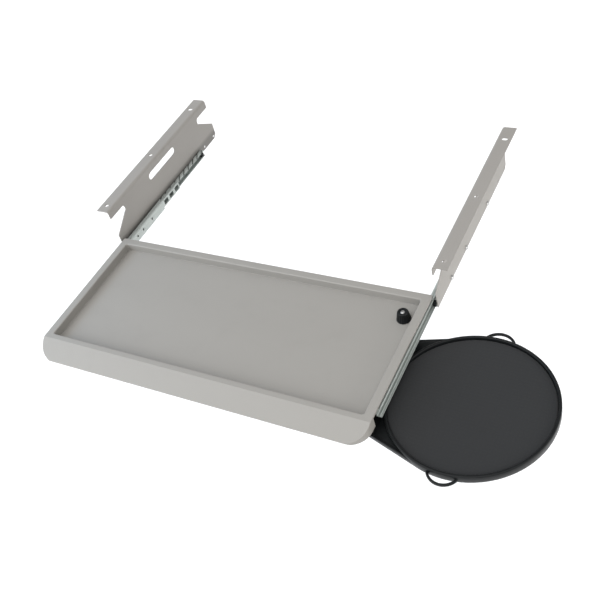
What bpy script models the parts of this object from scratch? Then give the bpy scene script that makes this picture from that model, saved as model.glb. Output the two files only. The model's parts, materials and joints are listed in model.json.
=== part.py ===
"""Under-desk keyboard drawer with a swing-out mouse platform.

Two folded steel brackets hang from a desk's underside.  A moulded keyboard tray runs between
them on ball slides, drawn forward to its stop, and a lipped mouse platform swings out from
under the tray's right side.

Frame: metres, +Z up, X across the tray, +Y to the rear.  The origin lies on the desk's
underside, midway between the brackets, at their rear ends.
"""
import bpy
import bmesh
from math import acos, asin, cos, pi, sin
from mathutils import Matrix

MM = 0.001
GAP = 0.3 * MM                        # kept between pieces that touch

# Hanging brackets
BRACKET_LENGTH = 292 * MM
BRACKET_SHEET = 1.6 * MM
WEB_FACE_X = 257.4 * MM               # inner face of each web, from the centre line
WEB_HEIGHT = 73 * MM
FLANGE_WIDTH = 21.4 * MM
BEND_RADIUS = 4.5 * MM                # outside of the fold
BAND_DEPTH = 14 * MM                  # strip left above each end notch
NOTCH_DEPTH = 35 * MM
NOTCH_RADIUS = 5 * MM
NOTCH_LOW_Z = -22 * MM                # where each notch's slanting edge starts
NOTCH_TIP_Z = -47 * MM                # where it meets the bracket's end
WINDOW_Y = (-186 * MM, -109.5 * MM)
WINDOW_Z = (-25.2 * MM, -13 * MM)
DESK_HOLE_X = 269.4 * MM
DESK_HOLE_YS = (-27 * MM, -152.5 * MM, -278 * MM)
DESK_HOLE_R = 2.9 * MM
DESK_SLOT_LENGTH = 8.5 * MM           # rear hole, along X
SPARE_HOLE_YS = (-7 * MM, -37 * MM)   # spare rail holes behind the rail
RAIL_HOLE_R = 2.1 * MM

# Slides
SLIDE_Z = -68.75 * MM                 # centre line of both rails
RAIL_SHEET = 1.0 * MM
RAIL_Y = (-288 * MM, -53 * MM)
RAIL_HEIGHT = 10.5 * MM
RAIL_DEPTH = 8.1 * MM                 # from the web inwards
RIVET_YS = (-88 * MM, -181 * MM, -240 * MM)
RAIL_SLOT_YS = (-262 * MM, -211 * MM, -135 * MM, -110 * MM, -69 * MM)
RAIL_SLOT_HALF = (8 * MM, 2 * MM)     # half length and half height
CHANNEL_Y = (-472 * MM, -192 * MM)
CHANNEL_HEIGHT = 16.5 * MM
CHANNEL_FACE_X = 246 * MM
CHANNEL_DEPTH = 7.5 * MM
CHANNEL_SCREW_YS = (-452 * MM, -382 * MM, -312 * MM)
CHANNEL_SPARE_YS = (-268 * MM, -252 * MM, -226 * MM)
CHANNEL_SCREW_R = 3 * MM              # its flush head
CAGE_Y = (-286 * MM, -140 * MM)
CAGE_SHEET = 0.6 * MM
CAGE_SIZE = (5.2 * MM, 13.1 * MM)     # depth and height
CAGE_WINDOWS = 9
CAGE_WINDOW_HALF_HEIGHT = 4 * MM
PLUG_DEPTH = 5 * MM                   # bumpers and buffers, from the rail's back

# Keyboard tray
RIM_Z = -54.5 * MM
TRAY_HALF_WIDTH = 252.3 * MM
TRAY_BODY_X = 245.7 * MM              # sides below the overhanging rim
TRAY_REAR_Y = -288.8 * MM
TRAY_FRONT_Y = -523 * MM
RIM_THICKNESS = 3 * MM
FLOOR_Z = -67 * MM
FLOOR_UNDER_Z = -70 * MM
PALM_TOP_Y = -496 * MM                # where the palm rest starts to slope
PALM_REAR_Y = -488 * MM
PALM_UNDER_Z = -72.5 * MM
PALM_CORNER_R = 27 * MM
PALM_WALL = 3 * MM
RECESS_X = (-241 * MM, 240 * MM)
RECESS_Y = (-487.6 * MM, -299.6 * MM)
RECESS_CORNER_R = 3 * MM

# Mouse platform
PAN_CENTRE = (342.8 * MM, -418 * MM)
PAN_RADIUS = 102.9 * MM
PAN_INNER_R = 99 * MM
LIP_Z = -80 * MM
PLATE_Z = -85.8 * MM
PLATE_UNDER_Z = -91.4 * MM
EDGE_Z = -84.3 * MM                   # raised edge round the plate's tail
EDGE_WIDTH = 2.5 * MM
MAT_Z = -84.1 * MM
PIVOT = (120 * MM, -418 * MM)
TAIL_RADIUS = 34 * MM
# Each cord loop: its shift along X from the pan's centre, half its width, its reach out of the pan
LOOPS = {"front": (0, 19 * MM, 12.4 * MM), "rear": (3.5 * MM, 20.5 * MM, 14 * MM)}
LOOP_STRAND = 3.4 * MM
LOOP_Z = (-88.8 * MM, -85.2 * MM)

# Pivot hardware
BOLT_R = 5 * MM
SPACER_R = 16 * MM
SWIVEL_PLATE_SIZE = (96 * MM, 70 * MM)
SWIVEL_PLATE_SHEET = 2 * MM
SWIVEL_SCREW_XY = (38 * MM, 25 * MM)
SWIVEL_HOLE_R = 2.3 * MM
WASHER_R = 15 * MM
WASHER_SHEET = 1.6 * MM
BOLT_HEAD_R = 9 * MM
BOLT_HEAD_HEIGHT = 4 * MM

# Stop knob
KNOB = (225.5 * MM, -326.5 * MM)
KNOB_R = 9.8 * MM                     # at its foot
KNOB_TOP_R = 7.2 * MM
KNOB_TOP_Z = -53 * MM
KNOB_DIMPLE = (3.4 * MM, 1.5 * MM)    # radius and depth of the seat for its screw
STUD_R = 3 * MM
CAM_Z = (-88 * MM, -82 * MM)
CAM_HUB_R = 8 * MM
CAM_TIP_R = 5 * MM
CAM_NUT = (5.5 * MM, 2.6 * MM)        # corner radius and thickness
BUSH_R = 7 * MM

SIDES = (("left", -1), ("right", 1))


# ---------------------------------------------------------------- scene and materials

def clear_scene():
    for old in list(bpy.data.objects):
        bpy.data.objects.remove(old, do_unlink=True)


def new_collection(name):
    collection = bpy.data.collections.new(name)
    bpy.context.scene.collection.children.link(collection)
    return collection


def material(name, colour, roughness, metallic=0.0):
    mat = bpy.data.materials.new(name)
    mat.use_nodes = True
    shader = mat.node_tree.nodes["Principled BSDF"]
    shader.inputs["Base Color"].default_value = (*colour, 1)
    shader.inputs["Roughness"].default_value = roughness
    shader.inputs["Metallic"].default_value = metallic
    mat.diffuse_color = (*colour, 1)
    return mat


PAINT = ("greige paint", (0.27, 0.257, 0.238), 0.45)
MOULDING = ("greige moulding", (0.31, 0.30, 0.28), 0.5)
ZINC = ("zinc plate", (0.54, 0.58, 0.57), 0.3, 1.0)
STEEL = ("bright steel", (0.55, 0.55, 0.55), 0.3, 1.0)
BLACK = ("black plastic", (0.006, 0.0065, 0.007), 0.4)
MAT = ("charcoal mat", (0.023, 0.024, 0.026), 0.85)


# ---------------------------------------------------------------- outlines

def arc(centre, radius, start, end, steps):
    """Points on an arc, from start to end in radians."""
    return [(centre[0] + radius * cos(start + (end - start) * i / steps),
             centre[1] + radius * sin(start + (end - start) * i / steps))
            for i in range(steps + 1)]


def circle(centre, radius, steps=20):
    return arc(centre, radius, 0, 2 * pi, steps)[:-1]


def rounded_box(x_span, y_span, radii, steps=5):
    """Radii run from the low x, low y corner anticlockwise."""
    (x0, x1), (y0, y1) = x_span, y_span
    points = []
    corners = ((x0, y0, 1, 1), (x1, y0, -1, 1), (x1, y1, -1, -1), (x0, y1, 1, -1))
    for quarter, ((x, y, sx, sy), r) in enumerate(zip(corners, radii)):
        start = pi + quarter * pi / 2
        points += arc((x + sx * r, y + sy * r), r, start, start + pi / 2, steps)
    return points


def obround(x_span, y_span, steps=6):
    radius = min(x_span[1] - x_span[0], y_span[1] - y_span[0]) / 2 - 0.01 * MM
    return rounded_box(x_span, y_span, (radius,) * 4, steps)


def c_section(face, depth, height, sheet, centre, lips_out):
    """A channel's section: back plate at face, flanges reaching depth along lips_out."""
    top, low = centre + height / 2, centre - height / 2
    tip = face + lips_out * depth
    back = face + lips_out * sheet
    return [(face, low), (tip, low), (tip, low + sheet), (back, low + sheet),
            (back, top - sheet), (tip, top - sheet), (tip, top), (face, top)]


# ---------------------------------------------------------------- solids

FLAT = (0, 0, 0)                      # outline in X and Y
ALONG_Y = (pi / 2, 0, 0)              # outline in X and Z, thick along Y
ALONG_X = (pi / 2, 0, pi / 2)         # outline in Y and Z, thick along X


def prism(name, outlines, thickness, facing, offset, collection, mat=None):
    """A solid with flat ends from one outline and any holes in it; offset is its middle."""
    curve = bpy.data.curves.new(name, "CURVE")
    curve.dimensions = "2D"
    curve.fill_mode = "BOTH"
    curve.extrude = thickness / 2
    for outline in outlines:
        spline = curve.splines.new("POLY")
        spline.points.add(len(outline) - 1)
        for point, (u, v) in zip(spline.points, outline):
            point.co = (u, v, 0, 1)
        spline.use_cyclic_u = True
    flat = bpy.data.objects.new(name + "_outline", curve)
    flat.rotation_euler = facing
    flat.location = {FLAT: (0, 0, offset), ALONG_Y: (0, offset, 0), ALONG_X: (offset, 0, 0)}[facing]
    collection.objects.link(flat)
    bpy.context.view_layer.update()
    mesh = bpy.data.meshes.new_from_object(flat.evaluated_get(bpy.context.evaluated_depsgraph_get()))
    mesh.name = name
    solid = bpy.data.objects.new(name, mesh)
    solid.matrix_world = flat.matrix_world.copy()
    bpy.data.objects.remove(flat, do_unlink=True)
    bpy.data.curves.remove(curve)
    collection.objects.link(solid)
    weld(mesh)
    finish(solid, mat)
    return solid


def weld(mesh):
    bm = bmesh.new()
    bm.from_mesh(mesh)
    bmesh.ops.remove_doubles(bm, verts=bm.verts, dist=0.000005)
    bmesh.ops.recalc_face_normals(bm, faces=bm.faces)
    bm.to_mesh(mesh)
    bm.free()


def finish(solid, mat):
    solid.data.materials.clear()
    if mat:
        solid.data.materials.append(MATERIALS[mat[0]])
    solid.data.shade_smooth()
    solid.data.set_sharp_from_angle(angle=0.5)


def span(low, high):
    """Thickness and middle of a stretch."""
    return abs(high - low), (low + high) / 2


def turned(name, profile, centre, axis, collection, mat=None, steps=24):
    """A turned solid: profile is (radius, height) from the top down its outer side.

    Height runs along axis, which is "Z" or "X"; centre is the point at height 0.
    """
    mesh = bpy.data.meshes.new(name)
    mesh.from_pydata([(r, 0, h) for r, h in profile],
                     [(i, i + 1) for i in range(len(profile) - 1)], [])
    solid = bpy.data.objects.new(name, mesh)
    collection.objects.link(solid)
    screw = solid.modifiers.new("turn", "SCREW")
    screw.steps = screw.render_steps = steps
    screw.use_merge_vertices = True
    screw.merge_threshold = 0.000005
    screw.use_smooth_shade = True
    solid.location = centre
    if axis == "X":
        solid.rotation_euler = (0, pi / 2, 0)
    if mat:
        solid.data.materials.append(MATERIALS[mat[0]])
    return solid


def disc_profile(radius, low, high, bore=0.0, chamfer=0.0):
    """Turned profile of a disc or, with a bore, of a closed ring."""
    outer = [(radius - chamfer, high), (radius, high - chamfer),
             (radius, low + chamfer), (radius - chamfer, low)]
    if not chamfer:
        outer = [(radius, high), (radius, low)]
    if not bore:
        return [(0, high)] + outer + [(0, low)]
    return [(bore, high)] + outer + [(bore, low), (bore, high)]


def cut(solid, cutter):
    combine(solid, cutter, "DIFFERENCE")


def combine(solid, tool, operation):
    boolean = solid.modifiers.new(tool.name, "BOOLEAN")
    boolean.operation = operation
    boolean.solver = "EXACT"
    boolean.object = tool
    tool.hide_render = True
    tool.display_type = "WIRE"


def drill(solid, name, centre, radius, low, high, axis="Z", steps=16):
    """A round cutter through solid, from low to high along its axis."""
    location = (centre[0], centre[1], 0) if axis == "Z" else (0, centre[0], centre[1])
    cut(solid, turned(name, disc_profile(radius, low, high), location, axis, CUTTERS, steps=steps))


# ---------------------------------------------------------------- brackets and slides

def bracket_section(side):
    """Fold section in X and Z: desk flange outwards, web down."""
    inner, outer = BEND_RADIUS - BRACKET_SHEET, BEND_RADIUS
    fold = (BEND_RADIUS, -BEND_RADIUS)
    points = [(0, -WEB_HEIGHT)]
    points += arc(fold, outer, pi, pi / 2, 5)
    points += [(FLANGE_WIDTH, 0), (FLANGE_WIDTH, -BRACKET_SHEET)]
    points += arc(fold, inner, pi / 2, pi, 5)
    points += [(BRACKET_SHEET, -WEB_HEIGHT)]
    return [(side * (WEB_FACE_X + u), z) for u, z in points]


def notch(end_y, inwards):
    """End notch in Y and Z: round inner corners, lower edge slanting out to the end."""
    past = end_y - inwards * 10 * MM
    deep = end_y + inwards * NOTCH_DEPTH
    turn = NOTCH_RADIUS
    top_corner = [(deep + inwards * turn * (cos(a) - 1), -BAND_DEPTH - turn + turn * sin(a))
                  for a in (pi / 2, pi / 3, pi / 6, 0)]
    slope = (NOTCH_TIP_Z - NOTCH_LOW_Z) / NOTCH_DEPTH
    low = [(deep, NOTCH_LOW_Z - 0.4 * turn),
           (deep - inwards * 0.6 * turn, NOTCH_LOW_Z + 0.9 * slope * turn),
           (past, NOTCH_TIP_Z + slope * 10 * MM)]
    return [(past, -BAND_DEPTH)] + top_corner + low


def make_bracket(label, side):
    name = label + "_bracket"
    length, middle = span(-BRACKET_LENGTH, 0)
    bracket = prism(name, [bracket_section(side)], length, ALONG_Y, middle, PARTS, PAINT)
    web_x = span(side * (WEB_FACE_X - 5 * MM), side * (WEB_FACE_X + FLANGE_WIDTH + 5 * MM))
    through = span(side * (WEB_FACE_X - 5 * MM), side * (WEB_FACE_X + 8 * MM))
    for end, end_y, inwards in (("rear", 0, -1), ("front", -BRACKET_LENGTH, 1)):
        cut(bracket, prism(f"{name}_{end}_notch", [notch(end_y, inwards)], web_x[0], ALONG_X,
                           web_x[1], CUTTERS))
    corner = [(1 * MM, -66 * MM), (1 * MM, -80 * MM), (-10 * MM, -80 * MM), (-7 * MM, -73.1 * MM)]
    cut(bracket, prism(name + "_corner", [corner], web_x[0], ALONG_X, web_x[1], CUTTERS))
    cut(bracket, prism(name + "_window", [obround(WINDOW_Y, WINDOW_Z)], through[0], ALONG_X,
                       through[1], CUTTERS))
    slot = obround((side * DESK_HOLE_X - DESK_SLOT_LENGTH / 2, side * DESK_HOLE_X + DESK_SLOT_LENGTH / 2),
                   (DESK_HOLE_YS[0] - DESK_HOLE_R, DESK_HOLE_YS[0] + DESK_HOLE_R))
    cut(bracket, prism(name + "_desk_slot", [slot], 10 * MM, FLAT, 0, CUTTERS))
    for index, y in enumerate(DESK_HOLE_YS[1:]):
        drill(bracket, f"{name}_desk_hole_{index}", (side * DESK_HOLE_X, y), DESK_HOLE_R,
              -5 * MM, 5 * MM)
    for index, y in enumerate(RIVET_YS + SPARE_HOLE_YS):
        low, high = sorted((side * (WEB_FACE_X - 5 * MM), side * (WEB_FACE_X + 5 * MM)))
        drill(bracket, f"{name}_rail_hole_{index}", (y, SLIDE_Z), RAIL_HOLE_R, low, high, "X", 12)
    return bracket


def make_rail(label, side):
    """Fixed rail: a narrow channel on the web, opening towards the tray."""
    name = label + "_fixed_rail"
    face = side * (WEB_FACE_X - GAP)
    section = c_section(face, RAIL_DEPTH, RAIL_HEIGHT, RAIL_SHEET, SLIDE_Z, -side)
    length, middle = span(*RAIL_Y)
    rail = prism(name, [section], length, ALONG_Y, middle, PARTS, ZINC)
    low, high = sorted((face - side * 3 * MM, face + side * 3 * MM))
    for index, y in enumerate(RIVET_YS):
        drill(rail, f"{name}_hole_{index}", (y, SLIDE_Z), RAIL_HOLE_R, low, high, "X", 12)
    thickness, centre = span(low, high)
    half_length, half_height = RAIL_SLOT_HALF
    for index, y in enumerate(RAIL_SLOT_YS):
        slot = obround((y - half_length, y + half_length), (SLIDE_Z - half_height, SLIDE_Z + half_height), 3)
        cut(rail, prism(f"{name}_slot_{index}", [slot], thickness, ALONG_X, centre, CUTTERS))
    return rail


def make_rivet(label, side, place, y):
    """Rivet through web and rail, with a round head outside and a flat one inside."""
    inside = WEB_FACE_X - GAP - RAIL_SHEET - GAP
    outside = WEB_FACE_X + BRACKET_SHEET + GAP
    profile = [(0, 2.2), (1.8, 2.0), (3.1, 1.2), (3.5, 0)]
    points = [(r * MM, outside + h * MM) for r, h in profile]
    points += [(1.8 * MM, outside), (1.8 * MM, inside), (3 * MM, inside),
               (3 * MM, inside - 0.8 * MM), (0, inside - 0.8 * MM)]
    if side < 0:
        points = [(r, -h) for r, h in reversed(points)]
    return turned(f"{label}_rail_rivet_{place}", points, (0, y, SLIDE_Z), "X", PARTS, STEEL, 16)


def make_bumper(label, side):
    """Black plug in the rail's front end, with a cap over the end."""
    rail_face = WEB_FACE_X - GAP - RAIL_SHEET - GAP
    inner_low = SLIDE_Z - RAIL_HEIGHT / 2 + RAIL_SHEET + GAP
    inner_high = SLIDE_Z + RAIL_HEIGHT / 2 - RAIL_SHEET - GAP
    front = RAIL_Y[0] - 2.6 * MM
    face = RAIL_Y[0] - GAP
    rear = RAIL_Y[0] + 8 * MM
    width, middle = span(side * rail_face, side * (rail_face - PLUG_DEPTH))
    cap = [(front, SLIDE_Z - RAIL_HEIGHT / 2), (face, SLIDE_Z - RAIL_HEIGHT / 2),
           (face, inner_low), (rear, inner_low), (rear, inner_high), (face, inner_high),
           (face, SLIDE_Z + RAIL_HEIGHT / 2), (front, SLIDE_Z + RAIL_HEIGHT / 2)]
    return prism(label + "_front_bumper", [cap], width, ALONG_X, middle, PARTS, BLACK)


def make_buffer(label, side):
    """Black block in the rail's rear end."""
    rail_face = WEB_FACE_X - GAP - RAIL_SHEET - GAP
    width, middle = span(side * rail_face, side * (rail_face - PLUG_DEPTH))
    block = rounded_box((RAIL_Y[1] - 8 * MM, RAIL_Y[1] - 1 * MM),
                        (SLIDE_Z - 3.9 * MM, SLIDE_Z + 3.9 * MM), (1 * MM,) * 4, 2)
    return prism(label + "_rear_buffer", [block], width, ALONG_X, middle, PARTS, BLACK)


def make_cage(label, side):
    """Ball cage between rail and channel, with a ladder of windows in its web."""
    name = label + "_ball_cage"
    face = side * (CHANNEL_FACE_X + RAIL_SHEET + 0.7 * MM)
    section = c_section(face, *CAGE_SIZE, CAGE_SHEET, SLIDE_Z, side)
    length, middle = span(*CAGE_Y)
    cage = prism(name, [section], length, ALONG_Y, middle, PARTS, ZINC)
    thickness, centre = span(face - side * 2 * MM, face + side * 2 * MM)
    pitch = length / CAGE_WINDOWS
    low, high = SLIDE_Z - CAGE_WINDOW_HALF_HEIGHT, SLIDE_Z + CAGE_WINDOW_HALF_HEIGHT
    for index in range(CAGE_WINDOWS):
        y = CAGE_Y[0] + (index + 0.5) * pitch
        front, rear = y - 0.32 * pitch, y + 0.32 * pitch
        window = [(front, low), (rear, low), (rear, high), (front, high)]
        cut(cage, prism(f"{name}_window_{index}", [window], thickness, ALONG_X, centre, CUTTERS))
    return cage


def make_channel(label, side):
    """Tray channel: wraps the fixed rail, and is screwed to the tray's side."""
    name = label + "_tray_channel"
    face = side * CHANNEL_FACE_X
    section = c_section(face, CHANNEL_DEPTH, CHANNEL_HEIGHT, RAIL_SHEET, SLIDE_Z, side)
    length, middle = span(*CHANNEL_Y)
    channel = prism(name, [section], length, ALONG_Y, middle, PARTS, ZINC)
    low, high = sorted((face - side * 2 * MM, face + side * 2.5 * MM))
    for index, y in enumerate(CHANNEL_SCREW_YS):
        drill(channel, f"{name}_hole_{index}", (y, SLIDE_Z), CHANNEL_SCREW_R + GAP, low, high, "X", 16)
    for index, y in enumerate(CHANNEL_SPARE_YS):
        drill(channel, f"{name}_spare_{index}", (y, SLIDE_Z + 1 * MM), 2 * MM, low, high, "X", 12)
    return channel


def make_channel_screw(label, side, place, y):
    """Flush screw from the channel into the tray's side wall."""
    head = CHANNEL_FACE_X + RAIL_SHEET - 0.1 * MM
    neck = CHANNEL_FACE_X + 0.2 * MM
    tip = TRAY_BODY_X - 3.4 * MM
    points = [(0, head), (CHANNEL_SCREW_R, head), (CHANNEL_SCREW_R, neck), (CHANNEL_SCREW_R / 2, neck),
              (CHANNEL_SCREW_R / 2, tip + 1 * MM), (0, tip)]
    if side < 0:
        points = [(r, -h) for r, h in reversed(points)]
    return turned(f"{label}_channel_screw_{place}", points, (0, y, SLIDE_Z), "X", PARTS, STEEL, 16)


# ---------------------------------------------------------------- tray

def tray_side_profile():
    """Tray's section in Y and Z, with the sloping palm rest at the front."""
    nose = 2 * MM
    slope = arc((TRAY_FRONT_Y + nose, PALM_UNDER_Z + nose), nose, 0.72 * pi, 1.5 * pi, 4)
    return [(TRAY_REAR_Y, RIM_Z), (PALM_TOP_Y, RIM_Z)] + slope + [
        (PALM_REAR_Y, PALM_UNDER_Z), (PALM_REAR_Y, FLOOR_UNDER_Z), (TRAY_REAR_Y, FLOOR_UNDER_Z)]


def make_tray():
    width = 2 * TRAY_HALF_WIDTH + 20 * MM
    tray = prism("tray", [tray_side_profile()], width, ALONG_X, 0, PARTS, MOULDING)
    plan = rounded_box((-TRAY_HALF_WIDTH, TRAY_HALF_WIDTH), (TRAY_FRONT_Y, TRAY_REAR_Y),
                       (PALM_CORNER_R, PALM_CORNER_R, 2 * MM, 2 * MM), 8)
    height, middle = span(PALM_UNDER_Z - 5 * MM, RIM_Z + 5 * MM)
    combine(tray, prism("tray_plan", [plan], height, FLAT, middle, CUTTERS), "INTERSECT")
    recess = rounded_box(RECESS_X, RECESS_Y, (RECESS_CORNER_R,) * 4, 4)
    height, middle = span(FLOOR_Z, RIM_Z + 5 * MM)
    cut(tray, prism("tray_recess", [recess], height, FLAT, middle, CUTTERS))
    low, high = PALM_UNDER_Z - 2 * MM, RIM_Z - RIM_THICKNESS
    height, middle = span(low, high)
    for label, side in SIDES:
        x_span = sorted((side * TRAY_BODY_X, side * (TRAY_HALF_WIDTH + 5 * MM)))
        rabbet = rounded_box(x_span, (PALM_REAR_Y, TRAY_REAR_Y + 5 * MM), (0.5 * MM,) * 4, 1)
        cut(tray, prism(f"tray_{label}_rabbet", [rabbet], height, FLAT, middle, CUTTERS))
        for index, y in enumerate(CHANNEL_SCREW_YS):
            ends = sorted((side * (TRAY_BODY_X - 3.7 * MM), side * (TRAY_BODY_X + 2 * MM)))
            drill(tray, f"tray_{label}_screw_hole_{index}", (y, SLIDE_Z), 1.8 * MM, *ends, "X", 12)
    hollow_y = (TRAY_FRONT_Y + 2 * PALM_WALL, PALM_REAR_Y - PALM_WALL)
    hollow = [(hollow_y[0], PALM_UNDER_Z - 1 * MM), (hollow_y[0], PALM_UNDER_Z + 0.3 * MM),
              (hollow_y[1], RIM_Z - 2 * PALM_WALL), (hollow_y[1], PALM_UNDER_Z - 1 * MM)]
    cut(tray, prism("tray_palm_hollow", [hollow], 2 * (TRAY_HALF_WIDTH - 18 * MM), ALONG_X, 0, CUTTERS))
    drill(tray, "tray_knob_hole", KNOB, STUD_R + GAP, -80 * MM, -60 * MM)
    for index, (x, y) in enumerate(swivel_screw_places()):
        drill(tray, f"tray_swivel_hole_{index}", (x, y), SWIVEL_HOLE_R, -72 * MM, FLOOR_Z - 0.6 * MM, "Z", 12)
    return tray


# ---------------------------------------------------------------- mouse platform

def swivel_screw_places():
    dx, dy = SWIVEL_SCREW_XY
    return [(PIVOT[0] + sx * dx, PIVOT[1] + sy * dy) for sx, sy in ((-1, -1), (1, -1), (1, 1), (-1, 1))]


def teardrop(inset, steps=40):
    """Pan circle and tail circle joined by their outer tangents."""
    big, small = PAN_RADIUS - 0.3 * MM - inset, TAIL_RADIUS - inset
    turn = acos((big - small) / (PAN_CENTRE[0] - PIVOT[0]))
    return (arc(PAN_CENTRE, big, -pi + turn, pi - turn, steps)
            + arc(PIVOT, small, pi - turn, pi + turn, 10))


def loop_outline(label, direction):
    """Cord loop: a bow standing out of the pan, with its opening."""
    shift, half_width, reach = LOOPS[label]
    cx, cy = PAN_CENTRE[0] + shift, PAN_CENTRE[1]
    bow_r = (half_width ** 2 + reach ** 2) / (2 * reach)
    centre_y = PAN_RADIUS + reach - bow_r - 1 * MM
    half = asin(half_width / bow_r)
    outer = arc((0, centre_y), bow_r, pi / 2 + half, pi / 2 - half, 10)
    outer = [(-half_width, PAN_RADIUS - 5 * MM)] + outer + [(half_width, PAN_RADIUS - 5 * MM)]
    inner_r = bow_r - LOOP_STRAND
    inner_half = asin((half_width - 1.2 * LOOP_STRAND) / inner_r)
    inner = arc((0, centre_y), inner_r, pi / 2 + inner_half, pi / 2 - inner_half, 10)
    inner += arc((0, 0), PAN_RADIUS + 0.4 * MM, pi / 2 - 0.115, pi / 2 + 0.115, 6)
    return [[(cx + x, cy + direction * y) for x, y in points] for points in (outer, inner)]


def make_platform():
    height, middle = span(PLATE_UNDER_Z, PLATE_Z)
    hole = circle(PIVOT, BOLT_R + GAP)
    platform = prism("mouse_platform", [teardrop(0), hole], height, FLAT, middle, PARTS, BLACK)
    height, middle = span(PLATE_Z - 1 * MM, EDGE_Z)
    edge = prism("platform_edge", [teardrop(0.2 * MM), teardrop(EDGE_WIDTH)], height, FLAT, middle, CUTTERS)
    combine(platform, edge, "UNION")
    wall = [(PAN_INNER_R, LIP_Z - 0.9 * MM), (PAN_INNER_R + 0.9 * MM, LIP_Z), (PAN_RADIUS - 0.9 * MM, LIP_Z),
            (PAN_RADIUS, LIP_Z - 0.9 * MM), (PAN_RADIUS, PLATE_UNDER_Z + 0.2 * MM),
            (PAN_INNER_R, PLATE_UNDER_Z + 0.2 * MM), (PAN_INNER_R, LIP_Z - 0.9 * MM)]
    ring = turned("platform_wall", wall, (*PAN_CENTRE, 0), "Z", CUTTERS, steps=72)
    combine(platform, ring, "UNION")
    height, middle = span(*LOOP_Z)
    for label, direction in (("front", -1), ("rear", 1)):
        loop = prism(f"platform_{label}_loop", loop_outline(label, direction), height, FLAT, middle, CUTTERS)
        combine(platform, loop, "UNION")
    clear = turned("platform_pan_clear", disc_profile(PAN_INNER_R - 0.01 * MM, PLATE_Z, LIP_Z + 5 * MM),
                   (*PAN_CENTRE, 0), "Z", CUTTERS, steps=72)
    cut(platform, clear)
    return platform


def make_mat():
    profile = disc_profile(PAN_INNER_R - 0.4 * MM, PLATE_Z + GAP, MAT_Z, 0, 0.4 * MM)
    return turned("mouse_mat", profile, (*PAN_CENTRE, 0), "Z", PARTS, MAT, 72)


def make_pivot():
    plate_top = FLOOR_UNDER_Z - GAP
    plate_low = plate_top - SWIVEL_PLATE_SHEET
    half_x, half_y = (size / 2 for size in SWIVEL_PLATE_SIZE)
    outline = rounded_box((PIVOT[0] - half_x, PIVOT[0] + half_x), (PIVOT[1] - half_y, PIVOT[1] + half_y),
                          (6 * MM,) * 4, 4)
    holes = [circle(place, SWIVEL_HOLE_R, 12) for place in swivel_screw_places()]
    height, middle = span(plate_low, plate_top)
    prism("swivel_plate", [outline, circle(PIVOT, BOLT_R + GAP)] + holes, height, FLAT, middle, PARTS, ZINC)
    for index, (x, y) in enumerate(swivel_screw_places()):
        head = plate_low - GAP
        profile = [(0, FLOOR_Z - 0.9 * MM), (2 * MM, FLOOR_Z - 0.9 * MM), (2 * MM, head), (4 * MM, head),
                   (3.6 * MM, head - 1.6 * MM), (2 * MM, head - 2.2 * MM), (0, head - 2.2 * MM)]
        turned(f"swivel_screw_{index + 1}", profile, (x, y, 0), "Z", PARTS, STEEL, 16)
    spacer_top = plate_low - GAP
    turned("pivot_spacer", disc_profile(SPACER_R, PLATE_Z + GAP, spacer_top, BOLT_R + GAP, 0.6 * MM),
           (*PIVOT, 0), "Z", PARTS, BLACK, 32)
    washer_low = PLATE_UNDER_Z - GAP - WASHER_SHEET
    turned("pivot_washer", disc_profile(WASHER_R, washer_low, PLATE_UNDER_Z - GAP, BOLT_R + GAP),
           (*PIVOT, 0), "Z", PARTS, ZINC, 32)
    head = washer_low - GAP
    foot = head - BOLT_HEAD_HEIGHT
    bolt = [(0, plate_top - 0.5 * MM), (BOLT_R, plate_top - 0.5 * MM), (BOLT_R, head), (BOLT_HEAD_R, head),
            (BOLT_HEAD_R, foot + 1 * MM), (BOLT_HEAD_R - 0.8 * MM, foot), (0, foot)]
    turned("pivot_bolt", bolt, (*PIVOT, 0), "Z", PARTS, STEEL, 24)


# ---------------------------------------------------------------- stop knob

def make_stop():
    """Knob in the tray's recess, whose stud carries a cam against the platform's rear edge."""
    knob_low = FLOOR_Z + GAP
    bore_top = KNOB_TOP_Z - 4 * MM
    seat_r, seat_depth = KNOB_DIMPLE
    knob = [(0, KNOB_TOP_Z - seat_depth), (seat_r, KNOB_TOP_Z - seat_depth), (seat_r, KNOB_TOP_Z),
            (KNOB_TOP_R - 1 * MM, KNOB_TOP_Z), (KNOB_TOP_R, KNOB_TOP_Z - 1 * MM), (KNOB_R, knob_low),
            (STUD_R + GAP, knob_low), (STUD_R + GAP, bore_top), (0, bore_top)]
    turned("stop_knob", knob, (*KNOB, 0), "Z", PARTS, BLACK, 28)
    screw = KNOB_TOP_Z - seat_depth + GAP
    turned("knob_screw", [(0, screw + 1.1 * MM), (2.2 * MM, screw + 1 * MM), (3 * MM, screw + 0.3 * MM),
                          (3 * MM, screw), (0, screw)], (*KNOB, 0), "Z", PARTS, STEEL, 16)
    stud = disc_profile(STUD_R, CAM_Z[0] - 2.8 * MM, bore_top - GAP)
    turned("knob_stud", stud, (*KNOB, 0), "Z", PARTS, STEEL, 16)
    bush = disc_profile(BUSH_R, CAM_Z[1] + GAP, FLOOR_UNDER_Z - GAP, STUD_R + GAP)
    turned("stop_bush", bush, (*KNOB, 0), "Z", PARTS, BLACK, 20)
    nut_r, nut_thickness = CAM_NUT
    nut = circle(KNOB, nut_r, 6)
    height, middle = span(CAM_Z[0] - GAP - nut_thickness, CAM_Z[0] - GAP)
    prism("cam_nut", [nut, circle(KNOB, STUD_R + GAP, 16)], height, FLAT, middle, PARTS, STEEL)
    make_cam()


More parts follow.
